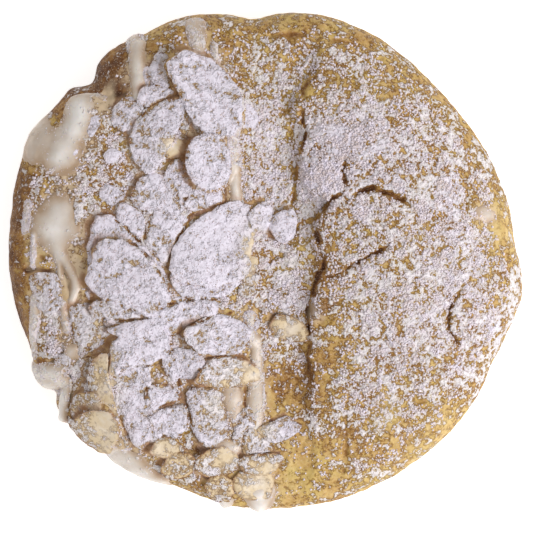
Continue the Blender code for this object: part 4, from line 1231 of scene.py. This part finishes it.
def almond_bits():
    """Broken bits of almond, with seeded corners round seeded places on the covered side."""
    draw = random.Random(BITS_SEED)
    bits = []
    while len(bits) < BITS:
        x, y = draw.uniform(*BITS_ACROSS), draw.uniform(*BITS_ALONG)
        reach = draw.uniform(*BIT_SIZES)
        turns = [step + draw.uniform(-BIT_TURN, BIT_TURN) for step in range(BIT_CORNERS)]
        reaches = [reach * draw.uniform(*BIT_REACHES) for _ in turns]
        if math.hypot(x, y) < BITS_REACH:
            corners = [(x + r * math.cos(t), y + r * math.sin(t)) for t, r in zip(turns, reaches)]
            bits.append((draw.uniform(*BIT_SUGAR) + LOW_BITS_SUGAR * (y < LOW_BITS_FROM), corners))
    return bits


def settle_flakes():
    """Settles all the flakes, lowest first: their points, faces, nearness to an edge, and sugar."""
    points, faces, edges, dusted, count = [], [], [], [], 0
    for number, (sugar, corners) in enumerate(almond_bits() + FLAKES):
        sink = FREE_FLAKE_SINK if sugar >= FREE_FLAKE_SUGAR else FLAKE_SINK
        flake_points, flake_faces, edge = flake_mesh(number, corners, sink)
        points.append(flake_points)
        faces.append(flake_faces + count)
        edges.append(edge)
        dusted.append(np.full(len(edge), sugar))
        count += len(flake_points)
    return (np.concatenate(part) for part in (points, faces, edges, dusted))


# The sugar fell slanting from the lower right, where the light comes from too, so a band behind each
# almond has less sugar and a painted shadow: directions, steps back along them, slope and softness of the
# band.
LIGHT_TURNS = (-60.0, -33.0, -6.0)
SHADOW_STEPS = (0.3, 0.6, 0.9, 1.2, 1.6, 2.0)
SHADOW_SLOPE = 0.42
SHADOW_SOFTNESS = 0.95
ALMOND_LEAST = 0.3
PAINTED_SHADOW_BREAKS = [(0.7, 4.5, 60), (0.4, 1.3, 61)]
ALMOND_PAINTED_SHADOW = 0.7
GROUND_PAINTED_SHADOW = 0.6


def on_heap(field, x, y):
    """A value of the heap's grid at any place, between its points."""
    i = np.clip((x + HEAP_REACH) / HEAP_PITCH, 0, len(field) - 1.001)
    j = np.clip((y + HEAP_REACH) / HEAP_PITCH, 0, len(field) - 1.001)
    low_i, low_j = i.astype(int), j.astype(int)
    near = field[low_i, low_j] * (1 - j + low_j) + field[low_i, low_j + 1] * (j - low_j)
    far = field[low_i + 1, low_j] * (1 - j + low_j) + field[low_i + 1, low_j + 1] * (j - low_j)
    return near * (1 - i + low_i) + far * (i - low_i)


def painted_shadow_of_almonds():
    """Over the heap's grid, from 0 to 1: how deep a place lies in an almond's painted shadow, where sugar is
    kept off.
    """
    almonds = np.where(heap > bare_heap + ALMOND_LEAST, heap, 0.0)
    painted_shadow = np.zeros(heap.shape)
    for turn in LIGHT_TURNS:
        for step in SHADOW_STEPS:
            away_x, away_y = step * math.cos(math.radians(turn)), step * math.sin(math.radians(turn))
            behind = np.clip(heap - on_heap(heap, heap_x - away_x, heap_y - away_y), 0.0, None)
            rise = on_heap(almonds, heap_x + away_x, heap_y + away_y) - heap - behind - SHADOW_SLOPE * step
            painted_shadow = np.maximum(painted_shadow, np.clip(rise / SHADOW_SOFTNESS, 0.0, 1.0))
    return painted_shadow


# What takes sugar off a flake: its worn rim, the painted shadow of its neighbours, wet icing and deep gaps.
RIM_FROM = 0.9
RIM_SUGAR = -0.04
SHADOW_BAND_SUGAR = -0.12
GLAZE_SUGAR = -0.42
GAP_SUGAR = -0.5
FLAKE_DRIFTS = [(0.08, 4.0, 54)]
GLAZE_CLOUDS = [(0.5, 2.5, 58)]
GLAZE_HIDES = 0.6


def make_flakes(points, faces, edges, dusted):
    """All the flakes in one piece, with their sugar and how near their edges each point is."""
    piece = new_piece("almond_flakes", points, faces)
    x, y = points[:, 0], points[:, 1]
    shade = on_heap(painted_shadow, x, y)
    rim = np.clip((edges - RIM_FROM) / (1.0 - RIM_FROM), 0, 1)
    glaze = patched(x, y, 0.0, GLAZE_PATCHES)
    glaze = np.clip(glaze * (1.0 + unevenness(points, GLAZE_CLOUDS)), 0.0, 1.0)
    gap = gap_level(x, y)
    # The edge mask holds the real toasted rim and, in the gaps, painted shade.
    toasted = edges**TOAST_SHARPNESS * (1.0 - GLAZE_HIDES * glaze)
    keep_mask(piece, "edge", np.maximum(toasted, gap))
    keep_mask(piece, "glaze", glaze)
    # The painted shadow cast by higher almonds, broken up.
    keep_mask(piece, "painted_shadow", shade * (ALMOND_PAINTED_SHADOW + unevenness(points, PAINTED_SHADOW_BREAKS)))
    bare = RIM_SUGAR * rim + SHADOW_BAND_SUGAR * shade + GLAZE_SUGAR * glaze + GAP_SUGAR * gap
    keep_mask(piece, "sugar", dusted + bare + unevenness(points, FLAKE_DRIFTS))
    return piece


# Almond from its creamy middle to its toasted edge and the painted shade of gaps, and icing that ran thinly
# or thickly.
ALMOND_COLOURS = [(0.0, 217, 198, 162), (0.45, 198, 170, 126), (0.8, 146, 106, 68), (1.0, 100, 64, 34)]
THIN_GLAZE = (222, 204, 170)
THICK_GLAZE = (235, 225, 208)


def make_sliced_almond():
    """Blanched almond: creamy white, toasted towards the edge, dull, under a thick coat of sugar."""
    material, tree, shader = new_material("sliced_almond")
    where = object_places(tree)
    cloud = clouds(tree, where, 300.0, 3.0, 0.6)
    flesh = ramp(tree, sway(tree, cloud, 0.9, kept_mask(tree, "edge")), ALMOND_COLOURS)
    glaze = kept_mask(tree, "glaze")
    poured = smooth_step(tree, cloud, 0.35, 0.65)
    poured = blend_colour(tree, poured, paint(*THIN_GLAZE), paint(*THICK_GLAZE))
    flesh = blend_colour(tree, glaze, flesh, poured)
    outline = add_share(tree, glaze, -0.8, 1.0)
    sift_over(tree, shader, flesh, outline, rough=0.55, sugar_rough=0.3,
              grain=clouds(tree, where, 1500.0, 3.0, 0.6), grain_height=0.3, depth=0.0004)
    shader.inputs["Specular IOR Level"].default_value = 0.3
    return material


settled_flakes = settle_flakes()
painted_shadow = painted_shadow_of_almonds()
almond_flakes = make_flakes(*settled_flakes)
almond_flakes.data.materials.append(make_sliced_almond())
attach(almond_flakes, "root")
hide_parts("pastry")

# The bed: icing and soft crust well up between the flakes, as a blurred copy of their heap, up to a
# depth below it, and lower in the gaps. The painted shadow behind a flake and the gaps, painted dark as
# shade, have less sugar.
BED_DEPTH = 0.62
BED_GAP_DROP = 0.8
BED_BLURS = (1, 2, 3, 3)
BED_LOWEST = WAIST + 2.0
BED_SHADOW_BAND_SUGAR = -0.15
BED_GAP_SUGAR = -0.7
BED_GAP_SHADE = 0.5
BED_GAP_FILM = -0.5

bed = heap - bare_heap
for step in BED_BLURS:
    beside = [np.roll(bed, way, axis) for axis in (0, 1) for way in (step, -step)]
    bed = (bed + sum(beside)) / (1 + len(beside))

for ground in (crust_top, icing):
    places = piece_points(ground)
    gap = gap_level(places[:, 0], places[:, 1])
    filled = on_heap(bed, places[:, 0], places[:, 1]) - BED_DEPTH - BED_GAP_DROP * gap
    places[:, 2] += np.clip(filled, 0.0, None) * (places[:, 2] > BED_LOWEST)
    set_points(ground.data, places)
    # The almonds' painted shadow falls on the bed too.
    shade = on_heap(painted_shadow, places[:, 0], places[:, 1])
    deepen(ground, "painted_shadow", shade * (GROUND_PAINTED_SHADOW + unevenness(places, PAINTED_SHADOW_BREAKS)))
    deepen(ground, "sugar", BED_SHADOW_BAND_SUGAR * shade + BED_GAP_SUGAR * gap)
    # The crust in a gap is painted darker as shade, with less film.
    if ground == crust_top:
        deepen(ground, "browning_and_shade", BED_GAP_SHADE * gap)
        deepen(ground, "film", BED_GAP_FILM * gap)

# ------------------------------------------------------------------------------------------------
# The sugar: icing sugar sifted over the cooled pastry. Its finest dust is part of the finish of what it
# lies on, and its larger lumps are real: small blunt clots that stay where they fell.

# A lump has six corners, each set nearer or farther at random, and eight faces.
LUMP_CORNERS = np.array([(1, 0, 0), (0, 1, 0), (-1, 0, 0), (0, -1, 0), (0, 0, 0.75), (0, 0, -0.75)])
LUMP_SIDES = [(i, (i + 1) % 4) for i in range(4)]
LUMP_FACES = np.array([(i, j, 4) for i, j in LUMP_SIDES] + [(j, i, 5) for i, j in LUMP_SIDES])
CORNER_LEAST = 0.65
CORNER_SPAN = 0.7
SMALL_LUMPS = 1.6
LUMP_SCATTER = 0.2
LUMP_LIFT = 0.25
# How likely a lump is at a place: its share of the dusting, what bare ground takes off, and the drifts.
DUSTING_SHARE = 1.9
BARE_SHARE = -0.40
DUSTING_MOST = 1.6
DRIFT_LUMPS = ((0.65, 2.2), (0.585, 1.0))
STEEP_SHARE = 2.5
SHADOW_BAND_LIMIT = 0.4
# The lumps of each ground: how many, seed, smallest and largest.
LUMPS = (
    ("sugar_on_crust", crust_top, 24000, 61, 0.15, 0.42),
    ("sugar_on_almonds", almond_flakes, 8000, 63, 0.08, 0.24),
    ("sugar_on_icing", icing, 1500, 65, 0.08, 0.22),
)


def make_sugar_lumps(name, ground, count, seed, smallest, largest):
    """Lumps of sugar over a piece, thickest where its dusting is, and in drifts."""
    draw = np.random.RandomState(seed)
    mesh = ground.data
    middles = mesh_values(mesh.polygons, "center", 3) / MM + (*OUTLINE_MIDDLE, 0.0)
    normals = mesh_values(mesh.polygons, "normal", 3)
    corner = mesh_values(mesh.loops, "vertex_index", kind=np.int32)
    first = corner[mesh_values(mesh.polygons, "loop_start", kind=np.int32)]
    sugar = mesh_values(mesh.attributes["sugar"].data, "value")
    drift = unevenness(middles, [(share, size, seed + i) for i, (share, size) in enumerate(DRIFT_LUMPS)])
    settled = np.clip(DUSTING_SHARE * sugar[first] + BARE_SHARE + drift, 0.0, DUSTING_MOST) ** 2
    weight = mesh_values(mesh.polygons, "area") * settled * np.clip(STEEP_SHARE * normals[:, 2], 0.0, 1.0)
    weight[on_heap(painted_shadow, middles[:, 0], middles[:, 1]) > SHADOW_BAND_LIMIT] = 0.0
    chosen = draw.choice(len(weight), count, p=weight / weight.sum())
    size = smallest + (largest - smallest) * draw.rand(count) ** SMALL_LUMPS
    place = middles[chosen] + LUMP_SCATTER * (draw.rand(count, 3) - 0.5) * (1, 1, 0)
    place = place + normals[chosen] * size[:, None] * LUMP_LIFT
    spin = draw.rand(count) * 2 * math.pi
    c, s = np.cos(spin)[:, None], np.sin(spin)[:, None]
    reaches = CORNER_LEAST + CORNER_SPAN * draw.rand(count, 6, 1)
    x, y, z = np.moveaxis(LUMP_CORNERS * reaches * size[:, None, None], -1, 0)
    shape = np.stack((x * c - y * s, x * s + y * c, z), axis=-1)
    points = (place[:, None] + shape).reshape(-1, 3)
    lump_faces = (LUMP_FACES + 6 * np.arange(count)[:, None, None]).reshape(-1, 3)
    return new_piece(name, points, lump_faces)


CLOT_COLOURS = [(0.3, 216, 203, 200), (0.7, 232, 227, 240)]


def make_sugar_clot():
    """A clot of icing sugar: white with a faint lavender shade, dull and a little see-through."""
    material, tree, shader = new_material("sugar_clot")
    where = object_places(tree)
    grain = clouds(tree, where, 5000.0, 2.0, 0.6)
    shade = ramp(tree, clouds(tree, where, 700.0, 2.0, 0.5), CLOT_COLOURS)
    tree.links.new(shade, shader.inputs["Base Color"])
    tree.links.new(add_share(tree, grain, 0.2, 0.75), shader.inputs["Roughness"])
    shader.inputs["Specular IOR Level"].default_value = 0.3
    bump = add_node(tree, "ShaderNodeBump", Strength=0.6, Distance=0.0001, Height=grain)
    tree.links.new(bump.outputs[0], shader.inputs["Normal"])
    return material


sugar_clot = make_sugar_clot()
for name, ground, *sizes in LUMPS:
    sugar_lumps = make_sugar_lumps(name, ground, *sizes)
    sugar_lumps.data.materials.append(sugar_clot)
    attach(sugar_lumps, "root")
    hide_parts("pastry")

# ------------------------------------------------------------------------------------------------
# The stage: a plain white table, a soft window light from the lower right and a pale room around.
# The camera looks straight down from far off, as the photograph was taken.

TABLE_SIZE = 3000.0
TABLE_DROP = 0.05
TABLE_GLOW = 0.7
WINDOW_SIZE = 0.9
WINDOW_POWER = 22.4
WINDOW_COLOUR = (1.0, 0.975, 0.985)
WINDOW_PLACE = (1.04, -0.54, 1.14)
ROOM_COLOUR = (1.0, 0.94, 0.90, 1.0)
ROOM_BRIGHTNESS = 0.5
CAMERA_HEIGHT = 750.0
CAMERA_PLACE = (0.23, -0.81)
VIEW_WIDTH = 123.95
SENSOR = 36.0

table_corners = [(-0.5, -0.5, 0), (0.5, -0.5, 0), (0.5, 0.5, 0), (-0.5, 0.5, 0)]
table_places = np.array(table_corners) * TABLE_SIZE - (0.0, 0.0, TABLE_DROP)
table_top = new_piece("table_top", table_places, np.array([[0, 1, 2, 3]]), smooth=False)
white_table, _, table_shader = new_material("white_table")
table_shader.inputs["Base Color"].default_value = (0.9, 0.9, 0.9, 1.0)
table_shader.inputs["Roughness"].default_value = 0.8
table_shader.inputs["Emission Color"].default_value = (1.0, 1.0, 1.0, 1.0)
table_shader.inputs["Emission Strength"].default_value = TABLE_GLOW
table_top.data.materials.append(white_table)

lamp = bpy.data.lights.new("window_light", "AREA")
lamp.size = WINDOW_SIZE
lamp.energy = WINDOW_POWER
lamp.color = WINDOW_COLOUR
window = bpy.data.objects.new("window_light", lamp)
window.location = WINDOW_PLACE
window.rotation_euler = (-window.location).to_track_quat("-Z", "Y").to_euler()
bpy.context.scene.collection.objects.link(window)

room = bpy.data.worlds.new("pale_room")
room.use_nodes = True
room.node_tree.nodes["Background"].inputs["Color"].default_value = ROOM_COLOUR
room.node_tree.nodes["Background"].inputs["Strength"].default_value = ROOM_BRIGHTNESS
bpy.context.scene.world = room
bpy.context.scene.view_settings.view_transform = "Standard"

camera = bpy.data.objects.new("camera", bpy.data.cameras.new("camera"))
camera.location = (CAMERA_PLACE[0] * MM, CAMERA_PLACE[1] * MM, (WAIST + CAMERA_HEIGHT) * MM)
camera.data.sensor_width = SENSOR
camera.data.lens = SENSOR * CAMERA_HEIGHT / VIEW_WIDTH
bpy.context.scene.collection.objects.link(camera)
bpy.context.scene.camera = camera

bpy.context.view_layer.update()
